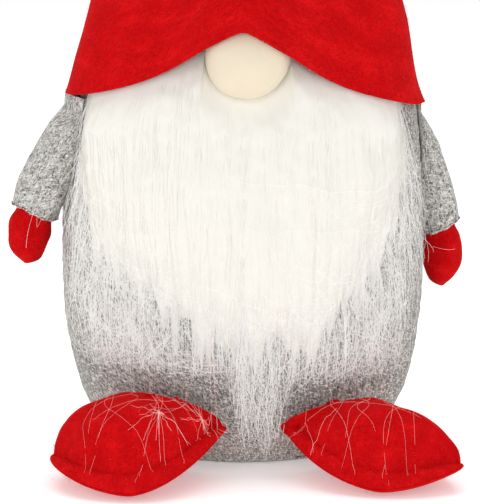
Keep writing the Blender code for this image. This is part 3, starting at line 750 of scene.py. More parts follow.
def makeHat():
    inside = np.array([0.0, 0.0, 0.25])
    for name, node, first, columns, side, seed in (
        ("hatFront", "hat_front_panel", -90, "frontColumns", -1, 31),
        ("hatBack", "hat_back_panel", 90, "backColumns", 1, 32),
    ):
        grid = hatGrid(first, first + 180, hat[columns])
        grid[..., 1] += side * hat["seam"]
        piece = clothShell(name, grid, hat["felt"], False, inside, redFelt)
        dress(piece, "gnome", node)
        fuzz(piece, hat["fibres"], *hat["fibre"], seed, fuzzRed, "gnome")


makeHat()
print("hat made")

# nose: a stuffed fleece ball pressed on the beard


def pressOnBacking(points, out):
    half = bodyRoom(points[..., 2], np.full(points.shape[:-1], out))
    front = -body["depth"] * np.sqrt(np.maximum(0, half**2 - points[..., 0] ** 2))
    points[..., 1] = np.minimum(points[..., 1], front)
    return points


def makeNose():
    lift, turn = np.linspace(0, math.pi, nose["rows"])[:, None], fullTurn(nose["columns"])[None]
    radius = nose["radius"]
    x = radius * np.sin(lift) * np.cos(turn)
    z = radius * np.sin(lift) * np.sin(turn)
    y = -radius * np.cos(lift) + 0 * turn
    rows = noseCentre + np.stack([x, y, z], axis=-1)
    lumps = unevenness(rows, 0.03, 41)[..., None]
    rows += (rows - noseCentre) / radius * lumps * nose["lump"]
    rows = pressOnBacking(rows, nose["press"])
    ball = closedSkin("noseBall", rows, noseFleece)
    dress(ball, "gnome", "nose_cover")
    # the fur round the ball glows with light, so no hard shadow lies on it
    ball.visible_shadow = False


makeNose()
print("nose made")

# beard


def beardLow(turn, low):
    return low + beard["sideRise"] * np.sin(turn) ** 2


def beardTop(turn):
    # under the brim, and round the lower half of the ball
    top = brimZ(np.degrees(turn)) - beard["brimGap"]
    room = nose["radius"] - 0.0022
    across = np.sin(turn) * float(bodyHalf(nose["z"])) - nose["x"]
    under = nose["z"] - np.sqrt(np.maximum(0, room**2 - across**2))
    return np.where(np.abs(across) < room, np.minimum(top, under), top)


def makeLocks(dice):
    # places, widths and lengths of the locks that end the dense hair
    places, place = [], -beard["halfAngle"]
    while place < beard["halfAngle"]:
        place += dice.uniform(1.4, 3.6)
        places.append((place, dice.uniform(1.4, 3.6), dice.uniform(0.004, 0.028)))
    return np.radians(np.array(places)[:, :2]), np.array(places)[:, 2]


locks = makeLocks(np.random.default_rng(51))


def denseEdge(turn):
    # the height where the dense hair ends and single strands go on
    return np.interp(np.degrees(turn), beard["edgeAngles"], beard["edgeHeights"])


def massLow(turn):
    (place, width), length = locks[0].T, locks[1]
    apart = np.abs(turn[..., None] - place) / width
    return denseEdge(turn) - (np.maximum(0, 1 - apart) * length).max(axis=-1)


def massOut(turn, z):
    # how far the dense hair stands off the body; it thins out at its lower edge
    side = smooth((1 - np.abs(turn) / math.radians(beard["halfAngle"])) / 0.2)
    deep = 0.0026 + (beard["deepest"] - 0.0026) * smooth((beardTop(turn) - z) / 0.024)
    thin = 0.22 + 0.78 * smooth((z - denseEdge(turn) + 0.010) / 0.060)
    points = ring(0.1, turn, z)
    uneven = 1 + 0.16 * unevenness(points, 0.030, 52) + 0.05 * unevenness(points, 0.010, 53)
    return beard["under"] + deep * thin * (0.15 + 0.85 * side) * uneven


def makeBacking():
    turn = np.radians(np.linspace(-beard["halfAngle"], beard["halfAngle"], 60))
    share = np.linspace(0, 1, 50)[:, None]
    low = beardLow(turn, beard["backingLow"])
    high = np.minimum(brimZ(np.degrees(turn)) + beard["tuck"], body["topZ"] - 0.040)
    z = low + share * (high - low)
    half = bodyRoom(z, beard["lay"] + beard["backing"])
    grid = ring(half, turn[None], z)
    piece = clothShell("beardBacking", grid, beard["backing"], False, beardMiddle, backingKnit)
    dress(piece, "gnome", "beard_backing")
    across = np.diff(grid[:-1], axis=1)
    along = np.diff(grid[:, :-1], axis=0)
    area = float(np.linalg.norm(np.cross(across, along), axis=-1).sum())


def makeMass():
    # the closed mass of hair next to the cloth; the loose strands lie over it
    last = math.radians(beard["massAngle"])
    turn = np.linspace(-last, last, 420)
    share = np.linspace(0, 1, 90)[:, None]
    low, high = massLow(turn), beardTop(turn)
    z = low + share * (high - low)
    rim = smooth(share / 0.06) * smooth((1 - share) / 0.03)
    rim = rim * smooth((1 - np.abs(turn) / last) / 0.05)
    streak = 0.00004 * np.sin(turn * 410 + 4 * np.sin(z * 60)) + 0.00002 * np.sin(turn * 733)
    under = beard["under"] - 0.0004
    out = massOut(np.broadcast_to(turn, z.shape), z) + streak
    inner = ring(bodyRoom(z, under), turn[None], z)
    outer = ring(bodyRoom(z, under) + 0.0004 + (out - beard["under"]) * rim, turn[None], z)
    piece = clothShell("beardMass", outer, 0.001, False, beardMiddle, beardMass, inner=inner)
    layer = piece.data.attributes.new("hairShade", "FLOAT", "POINT")
    place = np.array([vert.co for vert in piece.data.vertices])
    shade = 0.86 + 0.1 * unevenness(place, 0.02, 54)
    layer.data.foreach_set("value", np.clip(shade, 0, 1).astype(np.float32))
    dress(piece, "gnome", "beard_pile")


hair = {
    "denseCount": 900, "fringeCount": 860, "wispCount": 1400, "footWisps": 15,
    "denseLengths": (0.034, 0.070), "fringeLengths": (0.028, 0.128),
    "denseRadius": 0.00008, "rootRadius": 0.00012, "tipRadius": 0.00005,
    "wispRadius": 0.00010, "strayRadius": 0.00006, "seed": 60,
    # turns a length across the belly into an angle
    "turnRadius": 0.095,
    # the gap between the feet, and the least height of a hair over each foot and in the gap
    "gapMiddle": 0.0080, "gapHalf": 0.009, "rightLow": 0.046, "leftLow": 0.041, "gapLow": 0.006,
}


def throughLocks(dice, turn, clumps, s, hold):
    # bends strands towards the nearest of some random middles
    halfAngle = math.radians(beard["halfAngle"])
    centre = dice.uniform(-1.02, 1.02, clumps) * halfAngle
    spread = dice.uniform(0, 2.0 / clumps, (len(turn), clumps))
    mine = (np.abs(centre[None] - turn[:, None]) + spread).argmin(axis=1)
    goal = centre[mine] + dice.normal(0, 0.03, clumps)[mine]
    return (goal - turn)[:, None] * hold[:, None] * s**1.5


def overFeet(turn):
    # 0 in the gap between the feet, 1 over a foot
    across = np.sin(turn) * body["widestHalf"]
    return smooth((np.abs(across - hair["gapMiddle"]) - hair["gapHalf"]) / 0.008)


def lowestHair(turn):
    # hairs stay above the feet, and reach the ground between them
    over = np.where(turn < 0, hair["rightLow"], hair["leftLow"])
    return hair["gapLow"] + over * overFeet(turn)


def cutAtFeet(path, z, ends):
    # each hair stops where it would run under its lowest height
    steps = path.shape[1]
    under = z < lowestHair(path) + ends[:, None]
    first = np.where(under.any(axis=1), under.argmax(axis=1), steps)
    last = np.maximum(first - 1, 1)[:, None] * np.linspace(0, 1, steps)[None]
    low = np.minimum(last.astype(int), steps - 2)
    part = last - low
    rows = np.arange(len(path))[:, None]
    cut = [a[rows, low] * (1 - part) + a[rows, low + 1] * part for a in (path, z)]
    return cut[0], cut[1], first > 3


def hairPaths(dice, count, kind):
    halfAngle = math.radians(beard["halfAngle"])
    turn = dice.uniform(-1, 1, count)
    if kind == "fringe":
        turn = np.sign(turn) * np.abs(turn) ** 1.6
    turn = turn * halfAngle
    top = beardTop(turn)
    low = denseEdge(turn)
    if kind == "dense":
        share = np.where(dice.uniform(0, 1, count) < 0.22, 1, dice.uniform(0, 1, count))
        rootZ = low + 0.012 + (top - low - 0.012) * share - dice.uniform(0, 0.003, count)
        length = dice.uniform(*hair["denseLengths"], count)
        steps, sway = 9, dice.gamma(1.4, 0.0003, count)[:, None]
    else:
        rootZ = low + dice.uniform(-0.012, 0.036, count)
        shortest, longest = hair["fringeLengths"]
        length = shortest + dice.uniform(0, 1, count) ** 1.3 * (longest - shortest) * (
            1 - 0.4 * smooth(np.abs(turn - 0.06) / halfAngle)
        )
        steps, sway = 14, dice.gamma(1.5, 0.0017, count)[:, None]
    gap = 1 - overFeet(turn)
    ends = dice.exponential(0.0035, count) + dice.exponential(0.013, count) * gap
    length = np.clip(length, 0.012, rootZ - 0.006)
    s = np.linspace(0, 1, steps)[None]
    phase = dice.uniform(0, 2 * math.pi, count)[:, None]
    beats = dice.uniform(0.5, 1.6, count)[:, None]
    path = turn[:, None] + throughLocks(dice, turn, 96, s, dice.uniform(0.55, 1.0, count))
    path = path + throughLocks(dice, turn, 34, s, dice.uniform(0.0, 0.4, count))
    path = path + sway / hair["turnRadius"] * s * np.sin(2 * math.pi * beats * s + phase)
    stray = dice.normal(0, 0.26, count) * (dice.uniform(0, 1, count) < 0.35)
    if kind == "fringe":
        path = path + stray[:, None] * s**1.3
        path = path + 0.16 * (turn[:, None] / halfAngle) ** 3 * s
    z = rootZ[:, None] - length[:, None] * s
    path, z, kept = cutAtFeet(path, z, ends)
    out = massOut(path, z)
    lift = dice.gamma(1.5, 0.00012 if kind == "dense" else 0.0009, count)[:, None]
    if kind == "fringe":
        lift = 0.0001 + lift * smooth((low[:, None] + 0.008 - z) / 0.03)
    out = out - 0.0014 * np.exp(-s * 9) + lift * smooth(s / 0.25)
    out = out + sway * 0.5 * s * np.cos(2 * math.pi * beats * s + phase * 1.7)
    half = bodyRoom(np.maximum(z, body["widestZ"] * 0.55), np.maximum(out, 0.0024))
    points = ring(half, path, z)
    taper = (1 - s) ** 0.5
    thick = hair["denseRadius"] if kind == "dense" else hair["rootRadius"]
    radius = hair["tipRadius"] + (thick - hair["tipRadius"]) * taper
    # some strands are several hairs stuck together
    wide = 1 + (dice.uniform(0, 1, count) < 0.3) * dice.uniform(0.3, 1.3, count)
    if kind == "dense":
        wide = np.minimum(wide, 1.3)
    radius = radius * (dice.uniform(0.6, 1.1, count) * wide)[:, None]
    shade = np.clip(dice.normal(0.8, 0.18, count), 0, 1)[:, None] + 0 * s
    return points[kept], radius[kept], shade[kept]


def wispPaths(dice, count):
    # single fine hairs that cross each other over the felt
    halfAngle = math.radians(beard["halfAngle"])
    side = np.where(dice.uniform(0, 1, count) < 0.5, 1, -1)
    turn = side * halfAngle * dice.uniform(0.0, 1.02, count) ** 0.75
    low = denseEdge(turn)
    z0 = low - dice.uniform(-0.010, 0.058, count)
    length = dice.uniform(0.025, 0.110, count)
    heading = dice.normal(0, 0.75, count) + 0.1 * side
    curl = dice.normal(0, 2.2, count)
    steps = 14
    turnNow, zNow = turn.copy(), z0.copy()
    path, height = [turnNow.copy()], [zNow.copy()]
    for step in range(steps - 1):
        way = heading + curl * step / steps + 0.3 * np.sin(step * dice.uniform(0.5, 1.5, count))
        stride = length / (steps - 1)
        turnNow = turnNow + np.sin(way) * stride / hair["turnRadius"]
        zNow = zNow - np.cos(way) * stride
        path.append(turnNow.copy())
        height.append(zNow.copy())
    path, z = np.stack(path, axis=1), np.stack(height, axis=1)
    path, z, whole = cutAtFeet(path, z, dice.exponential(0.003, count))
    kept = (np.abs(path).max(axis=1) < 1.3) & whole
    path, z, count = path[kept], z[kept], int(kept.sum())
    s = np.linspace(0, 1, steps)[None]
    inside = np.abs(path) < halfAngle
    out = np.where(inside, massOut(np.clip(path, -halfAngle, halfAngle), z), 0.0034)
    rise = dice.gamma(1.6, 0.0011, count)[:, None]
    out = out + 0.0004 + rise * np.sin(math.pi * np.clip(s * 1.2, 0, 1)) ** 0.5
    half = bodyRoom(np.maximum(z, 0.03), out)
    points = ring(half, path, z)
    radius = hair["wispRadius"] * dice.uniform(0.6, 1.2, count)[:, None] * (1 - 0.6 * s)
    shade = np.clip(dice.normal(0.7, 0.25, count), 0, 1)[:, None] + 0 * s
    return points, radius, shade


def makeHair():
    dice = np.random.default_rng(hair["seed"])
    less = 1
    for kind, material in (("dense", beardDense), ("fringe", beardWhite)):
        for number in range(3):
            points, radius, shade = hairPaths(dice, hair[kind + "Count"] // 3 // less, kind)
            name = f"{kind}Hair{number + 1}"
            piece = strands(name, points, radius, shade, material, "gnome")
            # two of the loose layers shade the cloth behind them
            piece.visible_shadow = name in ("fringeHair1", "fringeHair2")
    paths = wispPaths(dice, hair["wispCount"] // less)
    strands("wispHair", *paths, wispWhite, "gnome")


makeBacking()
makeMass()
makeHair()
print("beard made")

# arms

# each station: the inner edge's reach and drop, the outer edge's, and the half depth
sleeve = {
    "stations": (
        (0.0000, -0.0088, 0.0002, -0.0088, 0.0190), (0.0000, 0.001, 0.0024, 0.001, 0.0185),
        (-0.0012, 0.014, 0.0105, 0.011, 0.0180), (-0.0028, 0.029, 0.0175, 0.024, 0.0180),
        (-0.0022, 0.044, 0.0235, 0.038, 0.0170), (0.0012, 0.057, 0.0275, 0.051, 0.0150),
        (0.0050, 0.070, 0.0295, 0.061, 0.0135),
    ),
    "rows": 70, "columns": 72, "hug": 0.090, "felt": 0.0017, "clear": 0.0012,
    "fibres": 60000, "fibre": (0.0016, 0.00005),
}
mitten = {
    "stations": (
        (0.0064, 0.062, 0.0260, 0.056, 0.0112), (0.0076, 0.070, 0.0270, 0.064, 0.0112),
        (0.0078, 0.077, 0.0303, 0.071, 0.0125), (0.0096, 0.086, 0.0305, 0.083, 0.0120),
        (0.0135, 0.0945, 0.0275, 0.092, 0.0080), (0.0195, 0.0980, 0.0210, 0.0980, 0.0003),
    ),
    "rows": 50, "columns": 64, "clear": 0.0012 + 0.0018 + 0.0005,
    "fibres": 70000, "fibre": (0.0011, 0.000045),
}
arms = {
    "right": {"side": -1, "y": -0.020, "z": 0.1875, "lean": 3.5, "reach": 0.88, "seed": 71},
    "left": {"side": 1, "y": 0.024, "z": 0.1830, "lean": 0.0, "reach": 1.04, "seed": 72},
}


def throughStations(stations, shares):
    # a smooth curve through the stations
    table = np.array(stations)
    last = len(table) - 1
    at = np.clip(shares, 0, 1) * last
    first = np.minimum(at.astype(int), last - 1)
    part = (at - first)[:, None]
    before, here = table[np.clip(first - 1, 0, last)], table[first]
    there, after = table[first + 1], table[np.clip(first + 2, 0, last)]
    curve = 2 * here + (there - before) * part
    curve += (2 * before - 5 * here + 4 * there - after) * part**2
    curve += (3 * here - before - 3 * there + after) * part**3
    return curve / 2


def armGrid(part, rows, columns, arm):
    shoulderX = float(bodySideX(arm["y"], arm["z"])) + sleeve["clear"]
    table = throughStations(part["stations"], np.linspace(0, 1, rows))
    innerOut, innerDown, outerOut, outerDown, depth = [
        table[:, number : number + 1] for number in range(5)
    ]
    halfWidth = np.hypot(outerOut - innerOut, outerDown - innerDown) / 2
    straight = np.maximum(0.0, depth - halfWidth)
    turn = fullTurn(columns)[None]
    mix = (1 - np.cos(turn)) / 2
    out = innerOut + (outerOut - innerOut) * mix
    down = (innerDown + (outerDown - innerDown) * mix) * arm["reach"]
    along = np.clip(1.6 * np.sin(turn), -1, 1)
    y = arm["y"] + (depth - straight) * np.sin(turn) + straight * along
    hug = np.clip(1 - down / sleeve["hug"], 0, 1)
    level = float(bodySideX(arm["y"], arm["z"]))
    out = out + hug * (bodySideX(y, arm["z"]) - level)
    lean = math.radians(arm["lean"])
    turnedOut = out * math.cos(lean) + down * math.sin(lean)
    turnedDown = down * math.cos(lean) - out * math.sin(lean)
    x = arm["side"] * (shoulderX + turnedOut)
    points = np.stack([x, y, arm["z"] - turnedDown], axis=-1)
    room = bodyRoom(points[..., 2], np.full(points.shape[:-1], part["clear"]))
    reach = np.hypot(points[..., 0], points[..., 1] / body["depth"])
    points[..., :2] *= np.maximum(1.0, room / reach)[..., None]
    return points


def armNormals(grid):
    return surfaceNormals(grid, True, grid.mean(axis=1, keepdims=True))


def makeSleeve(hand, arm):
    shoulder = arm["side"] * float(bodySideX(arm["y"], arm["z"]))
    grid = armGrid(sleeve, sleeve["rows"], sleeve["columns"], arm)
    low = np.linspace(0, 1, sleeve["rows"])[:, None]
    wrinkle = unevenness(grid, 0.034, arm["seed"]) + 0.5 * unevenness(grid, 0.013, arm["seed"] + 5)
    free = smooth((low - 0.1) / 0.15) * smooth((1 - low) / 0.12 + 0.3)
    grid = grid + armNormals(grid) * np.maximum(-0.0001, wrinkle * 0.0007 * free)[..., None]
    # the cuff is cut by hand, so its edge isn't quite straight
    turn = fullTurn(sleeve["columns"])
    ragged = 0.0006 * np.sin(turn * 3 + arm["seed"]) + 0.0003 * np.sin(turn * 11)
    grid[..., 2] += ragged * smooth((low - 0.9) / 0.1)
    middle = grid.mean(axis=1, keepdims=True)
    flat = (grid[..., 0].max(axis=1) - grid[..., 0].min(axis=1))[:, None, None]
    inner = grid - armNormals(grid) * np.clip(flat * 0.22, 0.0002, sleeve["felt"])
    felt = sleeve["felt"]
    piece = clothShell(hand + "Sleeve", grid, felt, True, middle, greyFelt, inner=inner)
    dress(piece, None, hand + "_sleeve")
    look = (sleeve["fibres"], *sleeve["fibre"], arm["seed"], fuzzGrey, None)
    fibres = fuzz(piece, *look)

    def cutHigh(bm):
        # takes away the fibres that would push through the brim
        top = float(brimZ(np.array(90.0 * arm["side"]))) - 0.003
        high = [vert for vert in bm.verts if vert.co.z > top]
        bmesh.ops.delete(bm, geom=high, context="VERTS")

    editMesh(fibres.data, cutHigh)
    for bent in (piece, fibres):
        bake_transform(bent)
    return grid


def makeMitten(hand, arm):
    grid = armGrid(mitten, mitten["rows"], mitten["columns"], arm)
    grid[-1] = grid[-1].mean(axis=0)
    low = np.linspace(0, 1, mitten["rows"])[:, None]
    middle = grid.mean(axis=1, keepdims=True)
    span = np.linalg.norm(grid - middle, axis=-1, keepdims=True)
    outward = (grid - middle) / np.maximum(span, 1e-6)
    wrinkle = unevenness(grid, 0.016, arm["seed"] + 9)
    free = smooth((low - 0.3) / 0.2) * smooth((1 - low) / 0.1)
    grid = grid + outward * (wrinkle * 0.0007 * free)[..., None]
    piece = clothShell(hand + "Mitten", grid, sleeve["felt"], True, middle, redFelt)
    dress(piece, hand + "_arm", hand + "_mitten")
    look = (mitten["fibres"], *mitten["fibre"], arm["seed"] + 3, fuzzRed, hand + "_arm")
    fuzz(piece, *look)


def makeArm(hand, arm):
    grid = makeSleeve(hand, arm)
    makeMitten(hand, arm)
    # uneven stitches round the cuff
    row = grid[-3] + armNormals(grid)[-3] * 0.0003
    look = (0.0042, 0.0024, 0.00022, redThread, hand + "_arm")
    stitches(hand + "CuffStitches", row, *look, closed=True)
    # the loose filling, inside both
    rows = []
    for part, keep in ((sleeve, slice(10, 22)), (mitten, slice(2, 23))):
        within = armGrid(part, 30, 40, arm)
        rows.append((within - armNormals(within) * 0.0027)[keep])
    ends = [np.repeat(row.mean(axis=1, keepdims=True), 40, axis=1)
            for row in (rows[0][:1], rows[1][-1:])]
    skin = np.concatenate([ends[0], *rows, ends[1]])
    filling = closedSkin(hand + "ArmFilling", skin, fillingFibre)
    dress(filling, hand + "_arm", hand + "_arm_stuffing")


for hand, arm in arms.items():
    makeArm(hand, arm)
print("arms made")

# feet

foot = {
    "lip": 0.15, "lipHeight": 0.0075, "edgeZ": 0.0045, "felt": 0.0017,
    "hingeY": -0.046, "hingeZ": 0.002, "tilt": 12.0, "rows": 64, "columns": 144,
    "upperFibres": 60000, "soleFibres": 24000, "fibre": (0.0013, 0.000045),
}
feet = {
    "right": {
        "side": -1, "x": -0.0545, "y": -0.0885, "splay": 6.0, "length": 0.092, "half": 0.038,
        "height": 0.046, "innerPoint": 0.9, "outerPoint": 0.05, "innerRise": 0.023,
        "outerRise": 0.009, "lowPoint": 0.15, "seed": 81,
    },
    "left": {
        "side": 1, "x": 0.0665, "y": -0.085, "splay": 25.0, "length": 0.103, "half": 0.032,
        "height": 0.0415, "innerPoint": 0.6, "outerPoint": 0.45, "innerRise": 0.024,
        "outerRise": 0.009, "lowPoint": 0.32, "seed": 82,
    },
}


def clearOfBody(points, clearance):
    # moves points forward until the foot can tilt without meeting the body
    def blocked(forward):
        meets = np.zeros(forward.shape, bool)
        for step in range(4):
            tilt = math.radians(foot["tilt"] * step / 3)
            y = points[..., 1] - forward - foot["hingeY"]
            z = points[..., 2] - foot["hingeZ"]
            turnedY = foot["hingeY"] + y * math.cos(tilt) + z * math.sin(tilt)
            turnedZ = foot["hingeZ"] + z * math.cos(tilt) - y * math.sin(tilt)
            room = bodyRoom(np.maximum(turnedZ, 0), np.full(turnedZ.shape, clearance))
            meets |= np.hypot(points[..., 0], turnedY / body["depth"]) < room
        return meets

    near = np.zeros(points.shape[:-1])
    far = np.where(blocked(near), 0.064, 0.0)
    for _ in range(13):
        middle = (near + far) / 2
        meets = blocked(middle)
        near, far = np.where(meets, middle, near), np.where(meets, far, middle)
    push = far
    for _ in range(14):
        above, below = np.vstack([push[:1], push[:-1]]), np.vstack([push[1:], push[-1:]])
        beside = np.roll(push, 1, axis=1) + np.roll(push, -1, axis=1)
        push = np.maximum(far, (above + below + beside) / 4)
    points = points.copy()
    points[..., 1] -= push
    return points


def footGrid(place, upper):
    turn = math.radians(place["splay"])
    share = np.sin(np.linspace(0, math.pi / 2, foot["rows"]))[:, None]
    angle = fullTurn(foot["columns"])[None]
    toe, front = np.cos(angle), np.sin(angle)
    outer = smooth(toe * 2 + 0.5)
    point = place["innerPoint"] + (place["outerPoint"] - place["innerPoint"]) * outer
    along = place["length"] / 2 * toe * share
    forward = place["half"] * front * np.abs(front) ** point * share
    # the foot touches the ground a little outside its middle, and both tips rise
    low = place["lowPoint"]
    past = toe * share - low
    lift = np.where(
        past < 0,
        place["innerRise"] * np.abs(past / (1 + low)) ** 1.4,
        place["outerRise"] * np.abs(past / (1 - low)) ** 1.7,
    )
    seam = foot["edgeZ"] + lift
    if upper:
        # a padded dome, and in front of it the flat sewn lip
        lip = smooth((front + 0.25) / 0.6)
        inner = 1 - 0.02 - (foot["lip"] - 0.02) * lip
        crease = seam + 0.001 + foot["lipHeight"] * lip * (1 - 0.5 * toe**2)
        dome = np.sqrt(np.maximum(0.0, 1 - (share / inner) ** 2.5))
        edge = np.sqrt(np.maximum(0.0, 1 - ((share - inner) / (1 - inner)) ** 2))
        z = np.where(
            share < inner, crease + (place["height"] - crease) * dome, seam + (crease - seam) * edge
        )
    else:
        dome = np.sqrt(np.maximum(0.0, 1 - share**2.1))
        z = lift + foot["edgeZ"] * (1 - np.minimum(1.0, 1.15 * dome))
    x = place["x"] + place["side"] * (along * math.cos(turn) - forward * math.sin(turn))
    y = place["y"] - along * math.sin(turn) - forward * math.cos(turn)
    return np.stack(np.broadcast_arrays(x, y, z), axis=-1), share


def makeFoot(hand):
    place = feet[hand]
    rideOn = hand + "_foot"
    centre = np.array([place["x"], place["y"], 0.018])
    inside = []
    for name, upper in (("Upper", True), ("Sole", False)):
        points, share = footGrid(place, upper)
        plain = clearOfBody(points, 0.0034)
        plain[0] = plain[0].mean(axis=0)
        normals = surfaceNormals(plain, True, centre)
        inside.append(centre + (plain - centre) * 0.86)
        if upper:
            lumps = unevenness(plain, 0.030, place["seed"]) * 0.0007
            lumps += unevenness(plain, 0.012, place["seed"] + 1) * 0.00025
            moved = plain + normals * (lumps * smooth((1 - share) / 0.03))[..., None]
            plain = clearOfBody(moved, 0.0032)
            plain[0] = plain[0].mean(axis=0)
        plain[..., 2] += 0.0002 if upper else 0.0
        plain[..., 2] = np.maximum(plain[..., 2], 0.0001)
        # the cloth thins out where the foot narrows to its points
        mirror = np.roll(plain[:, ::-1], 1, axis=1)
        width = np.where(share < 0.5, 1.0, np.linalg.norm(plain - mirror, axis=-1))
        thin = np.clip(width * 0.3, 0.0002, foot["felt"])[..., None]
        inner = plain - surfaceNormals(plain, True, centre) * thin
        part = hand + "Foot" + name
        piece = clothShell(part, plain, foot["felt"], True, centre, redFelt, inner, True)
        dress(piece, rideOn, hand + "_foot_" + name.lower())
        density = foot[name.lower() + "Fibres"]
        fuzz(piece, density, *foot["fibre"], place["seed"], fuzzRed, rideOn)
    rows = np.concatenate([inside[0][:27:2], inside[1][:27:2][::-1]])
    filling = closedSkin(hand + "FootFilling", rows, fillingFibre)
    dress(filling, rideOn, hand + "_foot_stuffing")


def meets(hand, names, start, way):
    # a ray's first hit on some pieces of an arm or a foot
    if (hand, names) not in trees:
        points, faces = [], []
        for name in names:
            mesh, first = bpy.data.objects[hand + name].data, len(points)
            points += [vert.co.copy() for vert in mesh.vertices]
            faces += [[first + index for index in face.vertices] for face in mesh.polygons]
        trees[hand, names] = BVHTree.FromPolygons(points, faces)
    return trees[hand, names].ray_cast(Vector(start), Vector(way))[0]


def onTop(hand, x, y):
    return meets(hand, ("FootUpper",), (x, y, 0.2), (0, 0, -1))


def overFoot(dice, hand, count):
    # long fine hairs that fall from the beard over a foot
    place = feet[hand]
    turn = math.radians(place["splay"])
    paths = []
    while len(paths) < count:
        along = 0.61 * len(paths) % 1 * 1.5 - 0.92 + dice.normal(0, 0.06)
        along *= place["length"] / 2
        drift, curl = dice.normal(-0.006, 0.024), dice.normal(0, 0.009)
        ahead = dice.uniform(0.015, 0.064)
        x0 = place["x"] + place["side"] * along * math.cos(turn)
        z0 = dice.uniform(0.052, 0.085)
        half = float(bodyRoom(np.array(z0), np.array(0.004)))
        x0 = max(-0.9 * half, min(0.9 * half, x0))
        y0 = -body["depth"] * math.sqrt(half**2 - x0**2)
        path = [np.array([x0, y0, z0])]
        backY = min(y0 - 0.004, place["y"] - along * math.sin(turn) + 0.006)
        for step in range(1, 20):
            share = step / 19
            x = x0 + place["side"] * (drift * share + curl * math.sin(4.2 * share))
            y = backY - ahead * share
            hit = onTop(hand, x, y)
            if not hit and step > 4:
                # past the edge of the foot: the hair ends here
                path.append(path[-1] - (0, 0.0001, 0.0002))
                continue
            z = hit.z + 0.0006 if hit else path[-1][2] - 0.0015
            path.append(np.array([x, y, min(z, path[-1][2] + 0.0015)]))
        paths.append(path)
    return np.array(paths)


def onFoot(dice, hand, middle, count, reach):
    # a small tangle of hairs lying on a foot
    paths = []
    for _ in range(count):
        way = dice.uniform(0, 2 * math.pi)
        length, bow = dice.uniform(0.3, 1) * reach, dice.normal(0, 0.12)
        first = dice.uniform(-0.4, 0.0) * length
        path = []
        for step in range(9):
            far = first + (length - first) * step / 8
            x = middle[0] + far * math.cos(way + bow * step / 8)
            y = middle[1] + far * math.sin(way + bow * step / 8) * 0.8
            hit = onTop(hand, x, y)
            if not hit:
                break
            path.append((x, y, hit.z + 0.0008 + 0.0015 * abs(math.sin(step))))
        if len(path) == 9:
            paths.append(path)
    return np.array(paths)


def overArm(dice, hand, count):
    # stray hairs caught on the front of a sleeve and its mitten
    side = arms[hand]["side"]
    paths, tries = [], 0
    while len(paths) < count and tries < 400:
        tries += 1
        x, z = side * dice.uniform(0.084, 0.108), dice.uniform(0.100, 0.185)
        way = dice.normal(0.5, 0.55)
        length, bow = dice.uniform(0.012, 0.045), dice.normal(0, 0.9)
        path = []
        for step in range(10):
            hit = meets(hand, ("Sleeve", "Mitten"), (x, -0.3, z), (0, 1, 0))
            if not hit:
                break
            path.append((x, hit.y - 0.0006 - 0.0008 * math.sin(0.33 * step), z))
            turned = way + bow * step / 10
            x += side * math.sin(turned) * length / 9
            z -= math.cos(turned) * length / 9
        if len(path) == 10 and max(abs(np.diff([point[1] for point in path]))) < 0.004:
            paths.append(path)
    return np.array(paths)


def makeArmHair():
    dice = np.random.default_rng(95)
    for hand, count in (("right", 8), ("left", 9)):
        points = overArm(dice, hand, count)
        shade = dice.uniform(0.4, 1, (len(points), 1))
        look = (hair["strayRadius"], shade, wispWhite, hand + "_arm")
        strands(hand + "SleeveWisps", points, *look)


# foot, name, middle, hairs and reach of each little tangle
tangles = (
    ("right", "FootTangle", (-0.043, -0.107), 15, 0.022),
    ("right", "FootTipTangle", (-0.021, -0.093), 20, 0.020),
    ("left", "FootTipTangle", (0.036, -0.099), 11, 0.018),
)


def makeFootHair():
    dice = np.random.default_rng(90)
    for hand, x, y in (("right", -0.043, -0.092), ("left", 0.040, -0.088)):
        points = overFoot(dice, hand, hair["footWisps"])
        s = np.linspace(0, 1, points.shape[1])[None]
        radius = hair["strayRadius"] * dice.uniform(0.65, 1.1, (len(points), 1)) * (1 - 0.4 * s)
        shade = dice.uniform(0.2, 1, (len(points), 1))
        # the pink of these hairs is painted red light from the foot
        piece = strands(hand + "FootWisps", points, radius, shade, wispPink)
        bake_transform(piece)
    for hand, name, *tangle in tangles:
        points = onFoot(dice, hand, *tangle)
        shade = dice.uniform(0.2, 1, (len(points), 1))
        look = (hair["strayRadius"], shade, wispPink, hand + "_foot")
        strands(hand + name, points, *look)


for hand in feet:
    makeFoot(hand)
makeFootHair()
makeArmHair()
print("feet made")

# what is inside, and the threads


def dressFilling(node, name, material, pull=0.0):
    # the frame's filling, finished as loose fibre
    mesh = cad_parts[node].data.copy()
    editMesh(mesh, weld)
    points = np.array([vert.co for vert in mesh.vertices])
    # pulled in from the seams
    reach = np.hypot(points[:, 0], points[:, 1] / body["depth"])
    points[:, :2] *= np.maximum(0.3, 1 - pull / np.maximum(reach, 0.001))[:, None]
    mesh.vertices.foreach_set("co", points.reshape(-1).astype(np.float32))
    corners = np.array([loop.vertex_index for loop in mesh.loops])
    mapCloth(mesh, points[corners][:, ::2])
    mesh.materials.clear()
    mesh.materials.append(material)
    dress(addObject(name, mesh), "gnome", node)


dressFilling("body_stuffing", "bodyFilling", fillingFibre)
dressFilling("hat_stuffing", "hatFilling", fillingFibre, 0.0035)
dressFilling("nose_stuffing", "noseFilling", fillingFibre)
dressFilling("weight_bag", "weightBag", bagLinen)
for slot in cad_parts["base_card"].material_slots:
    slot.material = greyCard

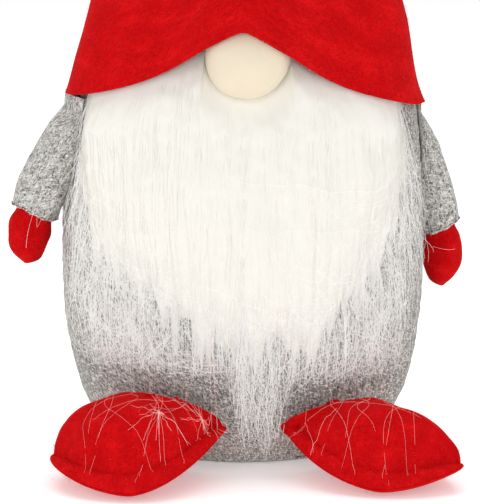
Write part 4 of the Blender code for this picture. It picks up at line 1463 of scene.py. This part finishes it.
for hand, arm in arms.items():
    y = arm["y"] + np.linspace(-0.015, 0.015, 12)
    z = arm["z"] + 0.0035
    x = arm["side"] * (bodySideX(y, z) + 0.0006)
    path = np.stack([x, y, np.full(12, z)], axis=1)
    look = (0.0036, 0.0028, 0.00028, greyThread, "gnome")
    piece = stitches(hand + "ShoulderStitches", path, *look)
    dress(piece, None, hand + "_shoulder_thread")
for hand, place in feet.items():
    x = np.linspace(0.45, 1.1, 12) * place["x"]
    half = bodyHalf(0.004) + 0.0008
    across = np.minimum(0.98, np.abs(x) / half)
    y = -body["depth"] * half * np.sqrt(1 - across**2)
    path = np.stack([np.sign(x) * across * half, y, np.full(12, 0.004)], axis=1)
    piece = stitches(hand + "FootStitches", path, 0.004, 0.003, 0.00028, redThread, "gnome")
    dress(piece, None, hand + "_foot_thread")
print("inside and threads made")

# stage, lights and camera

view = {"camera": (-0.0016, -1.300, 0.358), "pitch": 11.013, "lens": 172.0, "world": 0.50}
# place, size, power and aim of each soft light
lamps = {
    "frontSoftbox": ((-0.4, -2.4, 1.1), 1.8, 14.5, (0, 0, 0.2)),
    "leftSoftbox": ((-1.8, -0.6, 0.8), 1.2, 3.5, (0, 0, 0.2)),
    "rightSoftbox": ((1.8, -0.7, 0.9), 1.2, 4.5, (0, 0, 0.2)),
    "topSoftbox": ((0.0, 0.6, 2.6), 2.6, 42.0, (0, 0.3, 0.0)),
}


def makeStage():
    bpy.ops.mesh.primitive_plane_add(size=30, location=(0, 0, -0.0002))
    floor = bpy.context.object
    floor.name = "floor"
    paper = Recipe("floorPaper")
    grain = paper.noise(paper.objectPlace(), 4.0)
    floor.data.materials.append(paper.finish({
        "Base Color": paper.blend(grain, (0.93, 0.93, 0.93, 1), (0.96, 0.96, 0.96, 1)),
        "Roughness": 0.9,
        "Specular IOR Level": 0.0,
        "Emission Color": (1, 1, 1, 1),
        "Emission Strength": 0.3,
    }))

    world = bpy.data.worlds.new("studio")
    bpy.context.scene.world = world
    world.use_nodes = True
    sky = world.node_tree.nodes["Background"].inputs
    sky["Color"].default_value = (1, 1, 1, 1)
    sky["Strength"].default_value = view["world"]

    for name, (place, size, power, aim) in lamps.items():
        light = bpy.data.lights.new(name, "AREA")
        light.size, light.energy = size, power
        lamp = addObject(name, light)
        lamp.location = place
        lamp.rotation_euler = (Vector(aim) - Vector(place)).to_track_quat("-Z", "Y").to_euler()

    camera = bpy.data.cameras.new("camera")
    camera.lens, camera.sensor_width = view["lens"], 36
    camera.clip_start, camera.clip_end = 0.05, 50
    eye = addObject("camera", camera)
    eye.location = view["camera"]
    eye.rotation_euler = (math.radians(90 - view["pitch"]), 0, 0)
    bpy.context.scene.camera = eye
    bpy.context.scene.view_settings.view_transform = "Standard"


makeStage()
print("stage made")
